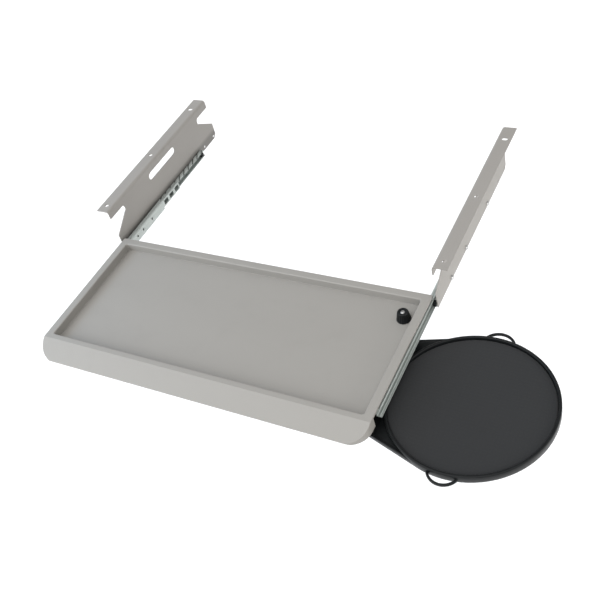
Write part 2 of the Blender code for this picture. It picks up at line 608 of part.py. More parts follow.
def make_cam():
    """Cam lobe pointing square at the platform's rear tangent edge."""
    run = acos((PAN_RADIUS - TAIL_RADIUS) / (PAN_CENTRE[0] - PIVOT[0]))
    normal = (cos(pi - run), sin(pi - run))
    rise = (KNOB[0] - PAN_CENTRE[0]) * normal[0] + (KNOB[1] - PAN_CENTRE[1]) * normal[1]
    reach = rise - (PAN_RADIUS - 0.3 * MM) - GAP - CAM_TIP_R
    towards = pi - run + pi
    turn = acos((CAM_HUB_R - CAM_TIP_R) / reach)
    tip = (KNOB[0] + reach * cos(towards), KNOB[1] + reach * sin(towards))
    outline = (arc(KNOB, CAM_HUB_R, towards + turn, towards + 2 * pi - turn, 14)
               + arc(tip, CAM_TIP_R, towards - turn, towards + turn, 8))
    height, middle = span(*CAM_Z)
    prism("stop_cam", [outline, circle(KNOB, STUD_R + GAP, 16)], height, FLAT, middle, PARTS, ZINC)


# ---------------------------------------------------------------- pivots of the moving pieces

def hang_on_empty(name, place, members):
    """Parent pieces to an empty on their joint's axis, leaving them where they are."""
    pivot = bpy.data.objects.new(name, None)
    pivot.empty_display_size = 20 * MM
    pivot.location = place
    PARTS.objects.link(pivot)
    bpy.context.view_layer.update()
    for member in members:
        piece = bpy.data.objects[member]
        piece.parent = pivot
        piece.matrix_parent_inverse = Matrix.Translation(place).inverted()
    return pivot


def build():
    for label, side in SIDES:
        make_bracket(label, side)
        make_rail(label, side)
        for place, y in zip(("rear", "middle", "front"), RIVET_YS):
            make_rivet(label, side, place, y)
        make_bumper(label, side)
        make_buffer(label, side)
        make_cage(label, side)
        make_channel(label, side)
        for place, y in zip(("front", "middle", "rear"), CHANNEL_SCREW_YS):
            make_channel_screw(label, side, place, y)
    make_tray()
    make_platform()
    make_mat()
    make_pivot()
    make_stop()
    swing = hang_on_empty("platform_axis", (*PIVOT, PLATE_Z), ["mouse_platform", "mouse_mat"])
    turn = hang_on_empty("knob_axis", (*KNOB, FLOOR_Z),
                         ["stop_knob", "knob_screw", "knob_stud", "stop_cam", "cam_nut"])
    carried = ["tray", "swivel_plate", "pivot_spacer", "pivot_washer", "pivot_bolt", "stop_bush"]
    carried += [f"swivel_screw_{index}" for index in (1, 2, 3, 4)]
    for label, _ in SIDES:
        carried.append(label + "_tray_channel")
        carried += [f"{label}_channel_screw_{place}" for place in ("front", "middle", "rear")]
        hang_on_empty(label + "_cage_run", (0, 0, SLIDE_Z), [label + "_ball_cage"])
    carriage = hang_on_empty("tray_run", (0, TRAY_REAR_Y, SLIDE_Z), carried)
    for pivot in (swing, turn):
        pivot.parent = carriage
        pivot.matrix_parent_inverse = Matrix.Translation(carriage.location).inverted()


clear_scene()
PARTS = new_collection("keyboard_drawer")
CUTTERS = new_collection("cutters")
MATERIALS = {spec[0]: material(*spec) for spec in (PAINT, MOULDING, ZINC, STEEL, BLACK, MAT)}
build()
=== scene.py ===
# %% [markdown]
# # An under-desk keyboard drawer with a swing-out mouse platform
#
# Two folded steel brackets hang from a desk's underside. A moulded tray runs between them on
# ball slides, and a round mouse platform swings out from under the tray's right side.
#
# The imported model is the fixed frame. It says where everything is and what moves. This script
# adds rolled slide sections with their balls, softened mouldings, a fluted knob, recessed screw
# heads, and finishes with grain and wear.

# %% Load the frame
import json
from math import acos, asin, copysign, cos, pi, radians, sin

import bmesh
import bpy
from mathutils import Matrix, Vector


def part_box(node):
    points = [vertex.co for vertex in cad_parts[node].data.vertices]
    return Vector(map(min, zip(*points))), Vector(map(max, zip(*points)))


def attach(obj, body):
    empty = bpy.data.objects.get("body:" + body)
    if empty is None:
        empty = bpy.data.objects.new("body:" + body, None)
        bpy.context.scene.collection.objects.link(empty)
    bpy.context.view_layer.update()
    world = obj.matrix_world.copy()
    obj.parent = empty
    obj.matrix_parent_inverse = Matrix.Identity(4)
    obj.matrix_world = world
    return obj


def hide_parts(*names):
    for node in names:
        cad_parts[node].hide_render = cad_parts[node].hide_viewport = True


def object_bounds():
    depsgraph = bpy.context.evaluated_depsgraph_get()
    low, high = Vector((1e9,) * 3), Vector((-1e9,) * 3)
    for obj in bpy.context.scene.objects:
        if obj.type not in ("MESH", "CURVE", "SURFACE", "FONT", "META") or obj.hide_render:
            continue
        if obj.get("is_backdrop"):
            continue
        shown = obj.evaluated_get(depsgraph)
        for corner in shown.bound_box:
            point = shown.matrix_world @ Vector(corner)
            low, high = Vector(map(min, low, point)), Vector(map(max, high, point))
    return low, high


MM = 0.001
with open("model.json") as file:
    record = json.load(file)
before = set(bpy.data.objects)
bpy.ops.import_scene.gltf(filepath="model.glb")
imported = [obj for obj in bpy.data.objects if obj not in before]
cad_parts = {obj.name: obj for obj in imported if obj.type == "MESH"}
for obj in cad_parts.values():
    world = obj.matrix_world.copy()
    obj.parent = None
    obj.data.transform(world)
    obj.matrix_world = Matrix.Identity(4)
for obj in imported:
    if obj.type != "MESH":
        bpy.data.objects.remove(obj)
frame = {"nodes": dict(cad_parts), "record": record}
NODES = frame["nodes"]
CAD_BOX = [list(corner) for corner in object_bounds()]
SIDES = (("left", -1), ("right", 1))

# %% [markdown]
# ## Camera
#
# The drawer is looked down on from its right front, with the camera rolled a little, so that
# the brackets climb towards the top corners. Its matrix is written out, because a roll is
# easier to state that way than as three angles.

# %% Camera
AZIMUTH, ELEVATION, ROLL = radians(38.84), radians(43.98), radians(-17.74)
DISTANCE = 1.3289
AIM = Vector((-0.00095, -0.23565, -0.18382))
LENS_MM, SENSOR_MM = 51.32, 36


def make_camera():
    back = Vector((sin(AZIMUTH) * cos(ELEVATION), -cos(AZIMUTH) * cos(ELEVATION), sin(ELEVATION)))
    level = back.cross(Vector((0, 0, -1))).normalized()
    upright = back.cross(level)
    right = level * cos(ROLL) + upright * sin(ROLL)
    up = upright * cos(ROLL) - level * sin(ROLL)
    camera = bpy.data.objects.new("camera", bpy.data.cameras.new("camera"))
    camera.matrix_world = Matrix((right, up, back)).transposed().to_4x4()
    camera.location = AIM + back * DISTANCE
    camera.data.sensor_width = SENSOR_MM
    camera.data.lens = LENS_MM
    camera.data.clip_start = 0.05
    bpy.context.scene.collection.objects.link(camera)
    bpy.context.scene.camera = camera
    return camera


print("camera stands at", tuple(round(v, 3) for v in make_camera().location))

# %% [markdown]
# ## Studio
#
# A pale floor lies 0.7 m below, where it is under a real desk, so the drawer's shadow spreads
# to almost nothing. The sky is a broad soft glow overhead, tilted to the front left, on a dimmer
# even ground: tops are then lighter than sides, recesses have depth, and black plastic mirrors
# the dim part. A warm card at the right lights the right bracket's web, a cool one at the
# front left lifts the palm rest, and a weak blue one cools the left flange.

# %% Studio
FLOOR_Z = -0.7
FLOOR_SIZE = 24.0
GLOW_STARTS, GLOW_FULL = 0.45, 0.95


def make_floor():
    mesh = bpy.data.meshes.new("floor")
    half = FLOOR_SIZE / 2
    mesh.from_pydata([(-half, -half, 0), (half, -half, 0), (half, half, 0), (-half, half, 0)], [],
                     [(0, 1, 2, 3)])
    floor = bpy.data.objects.new("floor", mesh)
    floor.location.z = FLOOR_Z
    paint = bpy.data.materials.new("floor_white")
    paint.use_nodes = True
    shader = paint.node_tree.nodes["Principled BSDF"]
    shader.inputs["Base Color"].default_value = (0.93, 0.93, 0.93, 1)
    shader.inputs["Roughness"].default_value = 0.9
    mesh.materials.append(paint)
    bpy.context.scene.collection.objects.link(floor)
    floor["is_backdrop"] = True


def make_light(name, place, aim, size, power, colour):
    """A soft rectangular light at place that shines towards aim."""
    data = bpy.data.lights.new(name, "AREA")
    data.shape = "RECTANGLE"
    data.size, data.size_y = size
    data.energy = power
    data.color = colour
    light = bpy.data.objects.new(name, data)
    light.location = place
    light.rotation_euler = (Vector(place) - Vector(aim)).to_track_quat("Z", "Y").to_euler()
    bpy.context.scene.collection.objects.link(light)


def make_sky(even, glow, axis):
    """A white sky of strength even, which rises smoothly to glow around axis."""
    sky = bpy.data.worlds.new("sky")
    sky.use_nodes = True
    nodes, links = sky.node_tree.nodes, sky.node_tree.links
    background = nodes["Background"]
    background.inputs["Color"].default_value = (1, 1, 1, 1)
    bearing = nodes.new("ShaderNodeTexCoord")
    nearness = nodes.new("ShaderNodeVectorMath")
    nearness.operation = "DOT_PRODUCT"
    nearness.inputs[1].default_value = Vector(axis).normalized()
    blend = nodes.new("ShaderNodeMapRange")
    blend.interpolation_type = "SMOOTHSTEP"
    settings = {"From Min": GLOW_STARTS, "From Max": GLOW_FULL, "To Min": even, "To Max": glow}
    for socket, value in settings.items():
        blend.inputs[socket].default_value = value
    links.new(bearing.outputs["Generated"], nearness.inputs[0])
    links.new(nearness.outputs["Value"], blend.inputs["Value"])
    links.new(blend.outputs["Result"], background.inputs["Strength"])
    bpy.context.scene.world = sky


RIGHT_WEB, PALM_REST = (0.26, -0.2, -0.04), (-0.1, -0.51, -0.06)
LEFT_FLANGE = (-0.27, -0.2, 0.0)
SKY_EVEN, SKY_GLOW, GLOW_AXIS = 0.52, 2.3, (-0.2, -0.5, 0.86)
make_floor()
make_sky(SKY_EVEN, SKY_GLOW, GLOW_AXIS)
make_light("right_card", (1.15, -0.35, 0.05), RIGHT_WEB, (0.7, 0.5), 5.0, (1.0, 0.985, 0.96))
make_light("front_card", (-0.55, -1.15, 0.25), PALM_REST, (0.6, 0.4), 3.4, (0.86, 0.93, 1.0))
make_light("left_card", (-0.9, -0.4, 0.4), LEFT_FLANGE, (0.5, 0.4), 1.8, (0.3, 0.6, 1.0))
bpy.context.scene.view_settings.view_transform = "Standard"
print("studio: floor at", FLOOR_Z, "m, three soft cards and a glowing sky")

# %% [markdown]
# ## Shader arithmetic
#
# `Wire` wraps one output socket, and its operators add Math nodes, so `0.5 + wear * 0.2` is two
# nodes in one line. Any other node comes from `Finish.add`, which takes the node's type, its
# settings and its sockets. Colours are mixed with a Mix node, because Math would turn them
# grey.

# %% Wires and finishes
# Where a Mix node keeps a colour's factor, A, B and result.
MIX_COLOUR_SOCKETS = (0, 6, 7, 2)


class Wire:
    """One output socket, to be used in sums."""

    def __init__(self, finish, socket):
        self.finish, self.socket = finish, socket

    def math(self, operation, first, second):
        return self.finish.add("ShaderNodeMath", {"operation": operation}, {0: first, 1: second})

    def __add__(self, other):
        return self.math("ADD", self, other)

    def __sub__(self, other):
        return self.math("SUBTRACT", self, other)

    def __mul__(self, other):
        return self.math("MULTIPLY", self, other)

    __radd__ = __add__


class Finish:
    """A material made of one Principled shader and what feeds it."""

    def __init__(self, name, **constants):
        self.material = bpy.data.materials.new(name)
        self.material.use_nodes = True
        self.tree = self.material.node_tree
        self.shader = self.tree.nodes["Principled BSDF"]
        for socket, value in constants.items():
            self.shader.inputs[socket.replace("_", " ")].default_value = value
        self.place = self.add("ShaderNodeTexCoord", out="Object")

    def add(self, kind, settings=None, sockets=None, out=0):
        """One node: settings first, then values or wires into its sockets; returns a wire."""
        node = self.tree.nodes.new(kind)
        for key, value in (settings or {}).items():
            if key == "stops":
                self.set_stops(node.color_ramp, value)
            else:
                setattr(node, key, value)
        for key, value in (sockets or {}).items():
            self.plug(node.inputs[key], value)
        return Wire(self, node.outputs[out])

    def set_stops(self, ramp, stops):
        while len(ramp.elements) < len(stops):
            ramp.elements.new(1.0)
        for element, (position, grey) in zip(ramp.elements, stops):
            element.position = position
            element.color = (grey, grey, grey, 1)

    def plug(self, socket, value):
        if isinstance(value, Wire):
            self.tree.links.new(value.socket, socket)
        else:
            socket.default_value = value

    def feed(self, **inputs):
        for name, value in inputs.items():
            self.plug(self.shader.inputs[name.replace("_", " ")], value)

    def stretch(self, x, y, z):
        """The place on the surface, scaled differently along each axis."""
        return self.add("ShaderNodeMapping", None, {"Vector": self.place, "Scale": (x, y, z)})

    def noise(self, scale, detail=3.0, roughness=0.5, where=None):
        return self.add("ShaderNodeTexNoise", None, {
            "Vector": where or self.place, "Scale": scale, "Detail": detail, "Roughness": roughness})

    def along(self, axis):
        """The place's X, Y or Z, in metres."""
        return self.add("ShaderNodeSeparateXYZ", None, {"Vector": self.place}, axis)

    def fade(self, wire, zero, one):
        """0 where wire is at zero, 1 where it is at one, smooth between."""
        return self.add("ShaderNodeMapRange", {"interpolation_type": "SMOOTHSTEP"},
                        {"Value": wire, "From Min": zero, "From Max": one})

    def ramp(self, wire, *stops):
        return self.add("ShaderNodeValToRGB", {"stops": stops}, {"Fac": wire})

    def colour(self, factor, a, b):
        """A colour between a and b."""
        at_factor, at_a, at_b, at_result = MIX_COLOUR_SOCKETS
        return self.add("ShaderNodeMix", {"data_type": "RGBA"},
                        {at_factor: factor, at_a: a, at_b: b}, at_result)

    def bump(self, height, depth):
        """A Bump node: depth is the full relief in metres."""
        return self.add("ShaderNodeBump", None, {"Height": height, "Strength": 1.0, "Distance": depth})


FINISHES = {}


def shade_of(colour, factor):
    return (*(min(1.0, value * factor) for value in colour), 1)


print("shader helpers are ready")

# %% [markdown]
# ## Grey paint on the brackets
#
# The brackets are powder coated in a warm grey. Powder melts into a skin with a fine orange
# peel, catches a little dust, and rubs thin in places. Noise at several sizes does this: broad
# for the drift in tone, finer for the rubbed patches, the peel and the specks. Painted shade
# darkens the inner face of each web towards the rail, as the rail's contact shadow would.

# %% Bracket paint
PAINT_GREY = (0.268, 0.254, 0.236)
# Heights over which painted shade darkens the web's inner face towards the rail.
WEB_SHADE_Z = (-54 * MM, -63 * MM)
WEB_INSIDE_X, WEB_CENTRE_X = 257.4 * MM, 258.2 * MM


def bracket_paint():
    paint = Finish("grey_powder_coat", Specular_IOR_Level=0.5, Coat_Roughness=0.35)
    drift = paint.noise(9, 4)
    peel = paint.noise(950, 2)
    specks = paint.ramp(paint.noise(2600, 1), (0.62, 0.0), (0.72, 1.0))
    tone = paint.colour(drift, shade_of(PAINT_GREY, 0.93), shade_of(PAINT_GREY, 1.07))
    rub = paint.ramp(paint.noise(60, 6, 0.7), (0.66, 0.0), (0.78, 1.0))
    tone = paint.colour(rub * 0.25, tone, shade_of(PAINT_GREY, 1.25))
    # Painted shade: the web's inner face darkens towards the rail, like a contact shadow.
    across = paint.along("X")
    inside = paint.fade(across * across, WEB_CENTRE_X ** 2, WEB_INSIDE_X ** 2)
    painted_dark = paint.fade(paint.along("Z"), *WEB_SHADE_Z) * inside * (0.55 + drift * 0.5)
    tone = paint.colour(painted_dark * 0.6, tone, shade_of(PAINT_GREY, 0.2))
    paint.feed(Base_Color=paint.colour(specks * 0.18, tone, shade_of(PAINT_GREY, 0.6)),
               Roughness=0.40 + drift * 0.12 + rub * 0.1,
               Normal=paint.bump(peel + specks * 0.4, 0.03 * MM))
    return paint.material


FINISHES["bracket_paint"] = bracket_paint()
print("finish:", FINISHES["bracket_paint"].name)

# %% [markdown]
# ## The tray's moulding
#
# The tray is a warm grey moulding whose tool was spark eroded, so the skin is a fine even
# pebble that scatters light. Cells give the pebble its bumps. Slow noise makes the faint flow
# marks, and patches of grime that are a little darker and smoother.

# %% Tray moulding
MOULDING_GREY = (0.27, 0.259, 0.24)


def tray_moulding():
    moulding = Finish("grey_moulding", Specular_IOR_Level=0.45)
    flow = moulding.noise(5, 5, 0.55, moulding.stretch(0.35, 1.6, 1.0))
    pebble = moulding.add("ShaderNodeTexVoronoi", {"feature": "SMOOTH_F1"},
                          {"Vector": moulding.place, "Scale": 1500.0, "Smoothness": 0.6})
    grime = moulding.ramp(moulding.noise(26, 6, 0.65), (0.52, 0.0), (0.8, 1.0))
    tone = moulding.colour(flow, shade_of(MOULDING_GREY, 0.94), shade_of(MOULDING_GREY, 1.06))
    tone = moulding.colour(grime * 0.2, tone, shade_of(MOULDING_GREY, 0.78))
    tone = moulding.colour(pebble * 0.12, tone, shade_of(MOULDING_GREY, 0.7))
    moulding.feed(Base_Color=tone, Roughness=0.5 + flow * 0.14 - grime * 0.06,
                  Normal=moulding.bump(pebble + flow * 0.3, 0.045 * MM))
    return moulding.material


FINISHES["tray_moulding"] = tray_moulding()
print("finish:", FINISHES["tray_moulding"].name)

# %% [markdown]
# ## Zinc on the slides
#
# The rails are rolled from strip and plated with bright zinc. The plating is a bluish green
# white, cloudy where it took unevenly, with faint streaks along the rolling direction. The
# salts in its skin scatter light, so it is only partly a mirror. The upper flange of each fixed
# rail is painted lighter, with slanted dark bars at about the balls' pitch.
#
# The flange is found by its height and by its distance from the middle plane. X is squared, so
# that one test serves both sides.

# %% Zinc plate
ZINC_WHITE = (0.47, 0.505, 0.485)
RAIL_TOP_Z = (-64.7 * MM, -64.4 * MM, -63.2 * MM, -62.9 * MM)
RAIL_REACH_X = (248.3 * MM, 248.8 * MM)
BARS_PER_METRE = 68.5


def zinc_plate():
    zinc = Finish("bright_zinc", Metallic=0.62)
    clouds = zinc.noise(70, 5, 0.6)
    crystals = zinc.add("ShaderNodeTexVoronoi", None, {"Vector": zinc.place, "Scale": 420.0}, "Color")
    flecks = zinc.add("ShaderNodeSeparateColor", None, {"Color": crystals})
    streaks = zinc.noise(900, 3, 0.6, zinc.stretch(1.0, 0.025, 1.0))
    tone = zinc.colour(clouds, shade_of(ZINC_WHITE, 0.84), shade_of(ZINC_WHITE, 1.1))
    tone = zinc.colour(flecks * 0.16, tone, shade_of(ZINC_WHITE, 0.7))
    tone = zinc.colour(streaks * 0.14, tone, shade_of(ZINC_WHITE, 0.62))
    height, across = zinc.along("Z"), zinc.along("X")
    on_top = (zinc.fade(height, *RAIL_TOP_Z[:2]) * zinc.fade(height, *reversed(RAIL_TOP_Z[2:]))
              * zinc.fade(across * across, *(x ** 2 for x in RAIL_REACH_X)))
    waves = zinc.add("ShaderNodeTexWave", {"bands_direction": "DIAGONAL"},
                     {"Vector": zinc.stretch(1.6, 1.0, 0.0), "Scale": BARS_PER_METRE * pi / 5})
    bars = zinc.ramp(waves, (0.74, 0.0), (0.93, 1.0))
    painted_dark = on_top * (0.25 + bars * 0.7)
    tone = zinc.colour(on_top, tone, shade_of(ZINC_WHITE, 1.5))
    zinc.feed(Base_Color=zinc.colour(painted_dark, tone, shade_of(ZINC_WHITE, 0.12)),
              Roughness=0.34 + clouds * 0.18 + flecks * 0.06 + painted_dark * 0.1,
              Normal=zinc.bump(streaks + clouds * 0.5, 0.012 * MM))
    return zinc.material


FINISHES["zinc_plate"] = zinc_plate()
print("finish:", FINISHES["zinc_plate"].name)

# %% [markdown]
# ## Steel, black plastic and the mat
#
# Screws and balls are bright steel with fine machining lines. The platform and knob are a
# black moulding with a low satin skin, which shows dust and small scuffs before anything else.
# The mat is a thin foam faced with a close black cloth: two crossed waves make its weave.

# %% Steel, plastic and cloth
STEEL_GREY = (0.48, 0.48, 0.475)
PLASTIC_BLACK = (0.0062, 0.0071, 0.0076)
CLOTH_BLACK = (0.0195, 0.0204, 0.0216)
THREADS_PER_METRE = 1250.0


def bright_steel():
    steel = Finish("bright_steel", Metallic=1.0)
    lines = steel.noise(1800, 2, 0.5, steel.stretch(1.0, 1.0, 0.08))
    stain = steel.noise(160, 4)
    steel.feed(Base_Color=steel.colour(stain, shade_of(STEEL_GREY, 0.85), shade_of(STEEL_GREY, 1.1)),
               Roughness=0.2 + stain * 0.16 + lines * 0.06, Normal=steel.bump(lines, 0.006 * MM))
    return steel.material


def black_plastic():
    plastic = Finish("satin_black_moulding", Specular_IOR_Level=0.17)
    grain = plastic.noise(2400, 2)
    dust = plastic.ramp(plastic.noise(38, 7, 0.7), (0.5, 0.0), (0.82, 1.0))
    scratches = plastic.noise(240, 3, 0.6, plastic.stretch(1.0, 0.2, 1.0))
    scuff = plastic.ramp(scratches, (0.66, 0.0), (0.75, 1.0))
    tone = plastic.colour(dust * 0.3, (*PLASTIC_BLACK, 1), shade_of(PLASTIC_BLACK, 3.2))
    plastic.feed(Base_Color=plastic.colour(scuff * 0.2, tone, shade_of(PLASTIC_BLACK, 2.4)),
                 Roughness=0.33 + dust * 0.16 + scuff * 0.1, Normal=plastic.bump(grain, 0.018 * MM))
    return plastic.material


def mat_cloth():
    cloth = Finish("close_black_cloth", Specular_IOR_Level=0.22, Sheen_Weight=0.12, Sheen_Roughness=0.5)
    threads = [cloth.add("ShaderNodeTexWave", {"bands_direction": direction},
                         {"Vector": cloth.place, "Scale": THREADS_PER_METRE / 20, "Distortion": 0.6,
                          "Detail": 1.0}) for direction in ("X", "Y")]
    weave = threads[0] * threads[1]
    worn = cloth.noise(14, 4)
    lint = cloth.ramp(cloth.noise(700, 4, 0.7), (0.6, 0.0), (0.75, 1.0))
    tone = cloth.colour(worn, shade_of(CLOTH_BLACK, 0.9), shade_of(CLOTH_BLACK, 1.12))
    tone = cloth.colour(weave * 0.14, tone, shade_of(CLOTH_BLACK, 1.3))
    cloth.feed(Base_Color=cloth.colour(lint * 0.2, tone, shade_of(CLOTH_BLACK, 1.8)),
               Roughness=0.82 + worn * 0.14, Normal=cloth.bump(weave + lint * 0.3, 0.06 * MM))
    return cloth.material


FINISHES["bright_steel"] = bright_steel()
FINISHES["black_plastic"] = black_plastic()
FINISHES["charcoal_mat"] = mat_cloth()
print("finishes:", ", ".join(sorted(FINISHES)))

# %% [markdown]
# ## Dress the frame's own solids
#
# Every solid first takes the finish of its record slot. Some of them are stood in for later by
# a finer piece. Those that stay get a fine chamfer on their edges, because an edge with no
# width never catches the light. The Bevel modifier leaves the solid's own mesh alone.

# %% Dress the frame
SLOT_OF = {entry["node"]: entry["material_slot"] for entry in frame["record"]["subparts"]}
SHARP = radians(32)


def soften(piece, width, segments=2, angle=SHARP):
    """A fine rounded chamfer on the sharp edges, and shading that stays flat beside it."""
    join = piece.modifiers.new("join", "WELD")
    join.merge_threshold = 0.002 * MM
    edges = piece.modifiers.new("edges", "BEVEL")
    edges.width, edges.segments = width, segments
    edges.limit_method, edges.angle_limit = "ANGLE", angle
    edges.use_clamp_overlap = True
    normals = piece.modifiers.new("normals", "WEIGHTED_NORMAL")
    normals.keep_sharp = True


def dress(piece, slot):
    piece.data.materials.clear()
    piece.data.materials.append(FINISHES[slot])


for node, solid in NODES.items():
    dress(solid, SLOT_OF[node])
print("dressed", len(NODES), "solids")

# %% [markdown]
# ## Workshop helpers
#
# `loft` skins a stack of rings, and `lathe` is a loft of circles. `strip` pushes a flat outline
# along Y, as a rolling mill does, and `slab` pushes one along Z or X. `sweep` carries a small
# section along a path. `bore` cuts with an exact Boolean and keeps only the result.

# %% Workshop helpers
def link_piece(name, bm, smooth_angle=SHARP):
    bmesh.ops.recalc_face_normals(bm, faces=bm.faces)
    mesh = bpy.data.meshes.new(name)
    bm.to_mesh(mesh)
    bm.free()
    mesh.shade_smooth()
    mesh.set_sharp_from_angle(angle=smooth_angle)
    piece = bpy.data.objects.new(name, mesh)
    bpy.context.scene.collection.objects.link(piece)
    return piece


def skin(bm, rings, closed=False):
    """Skin a stack of rings that all have the same number of points."""
    rows = [[bm.verts.new(point) for point in ring] for ring in rings]
    count = len(rows[0])
    pairs = list(zip(rows, rows[1:])) + ([(rows[-1], rows[0])] if closed else [])
    for low, high in pairs:
        for i in range(count):
            j = (i + 1) % count
            bm.faces.new((low[i], low[j], high[j], high[i]))
    if not closed:
        bm.faces.new(rows[0])
        bm.faces.new(rows[-1])


def loft(name, rings, closed=False, smooth_angle=SHARP):
    bm = bmesh.new()
    skin(bm, rings, closed)
    return link_piece(name, bm, smooth_angle)


def round_ring(centre, radius, height, steps, axis="Z"):
    """A circle at height along axis, round the line through centre."""
    turns = [2 * pi * i / steps for i in range(steps)]
    circle = [(radius * cos(a), radius * sin(a)) for a in turns]
    return [Vector(centre) + Vector((u, v, height) if axis == "Z" else (height, u, v))
            for u, v in circle]


def lathe(name, profile, centre, axis="Z", steps=32, closed=False, smooth_angle=SHARP):
    """Turn a profile of (radius, height)."""
    rings = [round_ring(centre, radius, height, steps, axis) for radius, height in profile]
    return loft(name, rings, closed=closed, smooth_angle=smooth_angle)


def strip(name, outline, y_low, y_high):
    """Push a closed (x, z) outline along Y."""
    return loft(name, [[Vector((x, y, z)) for x, z in outline] for y in (y_low, y_high)])


def slab(name, outline, low, high, axis="Z"):
    """A flat-ended block from an outline, thick along axis, which is Z or X."""
    return loft(name, [[Vector((u, v, h) if axis == "Z" else (h, u, v)) for u, v in outline]
                       for h in (low, high)])


def sweep(name, path, section):
    """Carry a (sideways, up) section along a level path."""
    rings = []
    for i, point in enumerate(path):
        before, after = path[max(i - 1, 0)], path[min(i + 1, len(path) - 1)]
        run = (after - before).normalized()
        side = Vector((run.y, -run.x, 0))
        rings.append([point + side * u + Vector((0, 0, w)) for u, w in section])
    return loft(name, rings)


def bore(piece, cutters):
    """Cut the cutters out of the piece for good, and throw them away."""
    for cutter in cutters:
        boolean = piece.modifiers.new(cutter.name, "BOOLEAN")
        boolean.solver, boolean.operation, boolean.object = "EXACT", "DIFFERENCE", cutter
    bpy.context.view_layer.update()
    graph = bpy.context.evaluated_depsgraph_get()
    mesh = bpy.data.meshes.new_from_object(piece.evaluated_get(graph))
    piece.modifiers.clear()
    piece.data = mesh
    mesh.set_sharp_from_angle(angle=SHARP)
    for cutter in cutters:
        bpy.data.objects.remove(cutter, do_unlink=True)


def fit(piece, body, slot, *nodes):
    """Finish a piece: the material of its slot, the body it rides on, and the solids it stands for,
    hidden.
    """
    dress(piece, slot)
    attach(piece, body)
    if nodes:
        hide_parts(*nodes)
    return piece


def arc(centre, radius, start, end, steps):
    return [(centre[0] + radius * cos(start + (end - start) * i / steps),
             centre[1] + radius * sin(start + (end - start) * i / steps)) for i in range(steps + 1)]


def capsule(u_span, v_span, steps=6):
    """A slot's outline, with round ends along its longer side."""
    (u0, u1), (v0, v1) = u_span, v_span
    r = (v1 - v0) / 2
    middle = (v0 + v1) / 2
    return (arc((u1 - r, middle), r, -pi / 2, pi / 2, steps)
            + arc((u0 + r, middle), r, pi / 2, 1.5 * pi, steps))


print("helpers: loft, lathe, strip, slab, sweep, bore, fit")

# %% [markdown]
# ## Folded brackets
#
# Each bracket is laser cut flat and folded once. It is made the same way here: a flat blank
# with its notches, window and holes is filled, scored along the fold, and each point is then
# rolled to its place round the fold. Solidify gives it its gauge, and a small bevel takes the
# sharpness off the sheared edges.

# %% Folded brackets
GAUGE = 1.6 * MM
FOLD_RADIUS = 4.5 * MM
FOLD_SCORES = 7
BRACKET_LOW, BRACKET_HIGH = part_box("right_bracket")
WEB_FACE_X, BRACKET_FRONT_Y, WEB_LOW_Z = BRACKET_LOW
WEB_RUN = -FOLD_RADIUS - WEB_LOW_Z
FOLD_RUN = FOLD_RADIUS * pi / 2
FLANGE_RUN = BRACKET_HIGH.x - WEB_FACE_X - FOLD_RADIUS
RIVET_YS, SPARE_HOLE_YS = (-0.088, -0.181, -0.240), (-0.007, -0.037)
RAIL_Z, RAIL_HOLE_R = -68.75 * MM, 2.1 * MM
DESK_HOLE_X = 269.4 * MM
DESK_HOLE_YS = (-27 * MM, -152.5 * MM, -278 * MM)
DESK_HOLE_R, DESK_SLOT_HALF = 2.9 * MM, 4.25 * MM
WINDOW_YS, WINDOW_ZS = (-186 * MM, -109.5 * MM), (-25.2 * MM, -13 * MM)


def up_blank(z):
    """How far up the flat blank a height on the web is."""
    return z - WEB_LOW_Z


def out_blank(x):
    """How far up the flat blank a place on the flange is."""
    return WEB_RUN + FOLD_RUN + x - WEB_FACE_X - FOLD_RADIUS


def notch_points(end, inwards):
    """The end notch: a deep round-cornered bite whose lower edge slants out to the end."""
    deep, turn = end + inwards * 35 * MM, 5 * MM
    top = [(deep + inwards * turn * (cos(a) - 1), up_blank(-14 * MM) - turn + turn * sin(a))
           for a in (pi / 2, pi / 3, pi / 6, 0)]
    low = [(deep, up_blank(-24 * MM)), (deep - inwards * 0.9 * MM, up_blank(-24.2 * MM)),
           (deep - inwards * 3 * MM, up_blank(-25.2 * MM)), (end, up_blank(-47 * MM))]
    return [(end, up_blank(-14 * MM))] + top + low


def blank_outline():
    """Anticlockwise from the web's lower front corner."""
    front, rear = BRACKET_FRONT_Y, 0.0
    top = WEB_RUN + FOLD_RUN + FLANGE_RUN
    lower_rear = [(rear - 7 * MM, 0), (rear, up_blank(-66.9 * MM))]
    rear_notch = list(reversed(notch_points(rear, -1)))
    front_notch = notch_points(front, 1)
    return [(front, 0)] + lower_rear + rear_notch + [(rear, top), (front, top)] + front_notch


def blank_holes():
    circles = [arc((y, up_blank(RAIL_Z)), RAIL_HOLE_R, 0, 2 * pi, 14)[:-1]
               for y in RIVET_YS + SPARE_HOLE_YS]
    desk = out_blank(DESK_HOLE_X)
    circles += [arc((y, desk), DESK_HOLE_R, 0, 2 * pi, 16)[:-1] for y in DESK_HOLE_YS[1:]]
    across = capsule((-DESK_SLOT_HALF, DESK_SLOT_HALF), (-DESK_HOLE_R, DESK_HOLE_R))
    slot = [(DESK_HOLE_YS[0] + v, desk + u) for u, v in across]
    window = capsule(WINDOW_YS, [up_blank(z) for z in WINDOW_ZS])
    return circles + [slot, window]


def fold(point, side):
    """Roll a point of the blank to its place on the bracket."""
    y, run = point.x, point.y
    if run <= WEB_RUN:
        return Vector((side * WEB_FACE_X, y, WEB_LOW_Z + run))
    turned = min(run - WEB_RUN, FOLD_RUN) / FOLD_RADIUS
    past = max(run - WEB_RUN - FOLD_RUN, 0)
    x = WEB_FACE_X + FOLD_RADIUS * (1 - cos(turned)) + past
    return Vector((side * x, y, -FOLD_RADIUS + FOLD_RADIUS * sin(turned)))


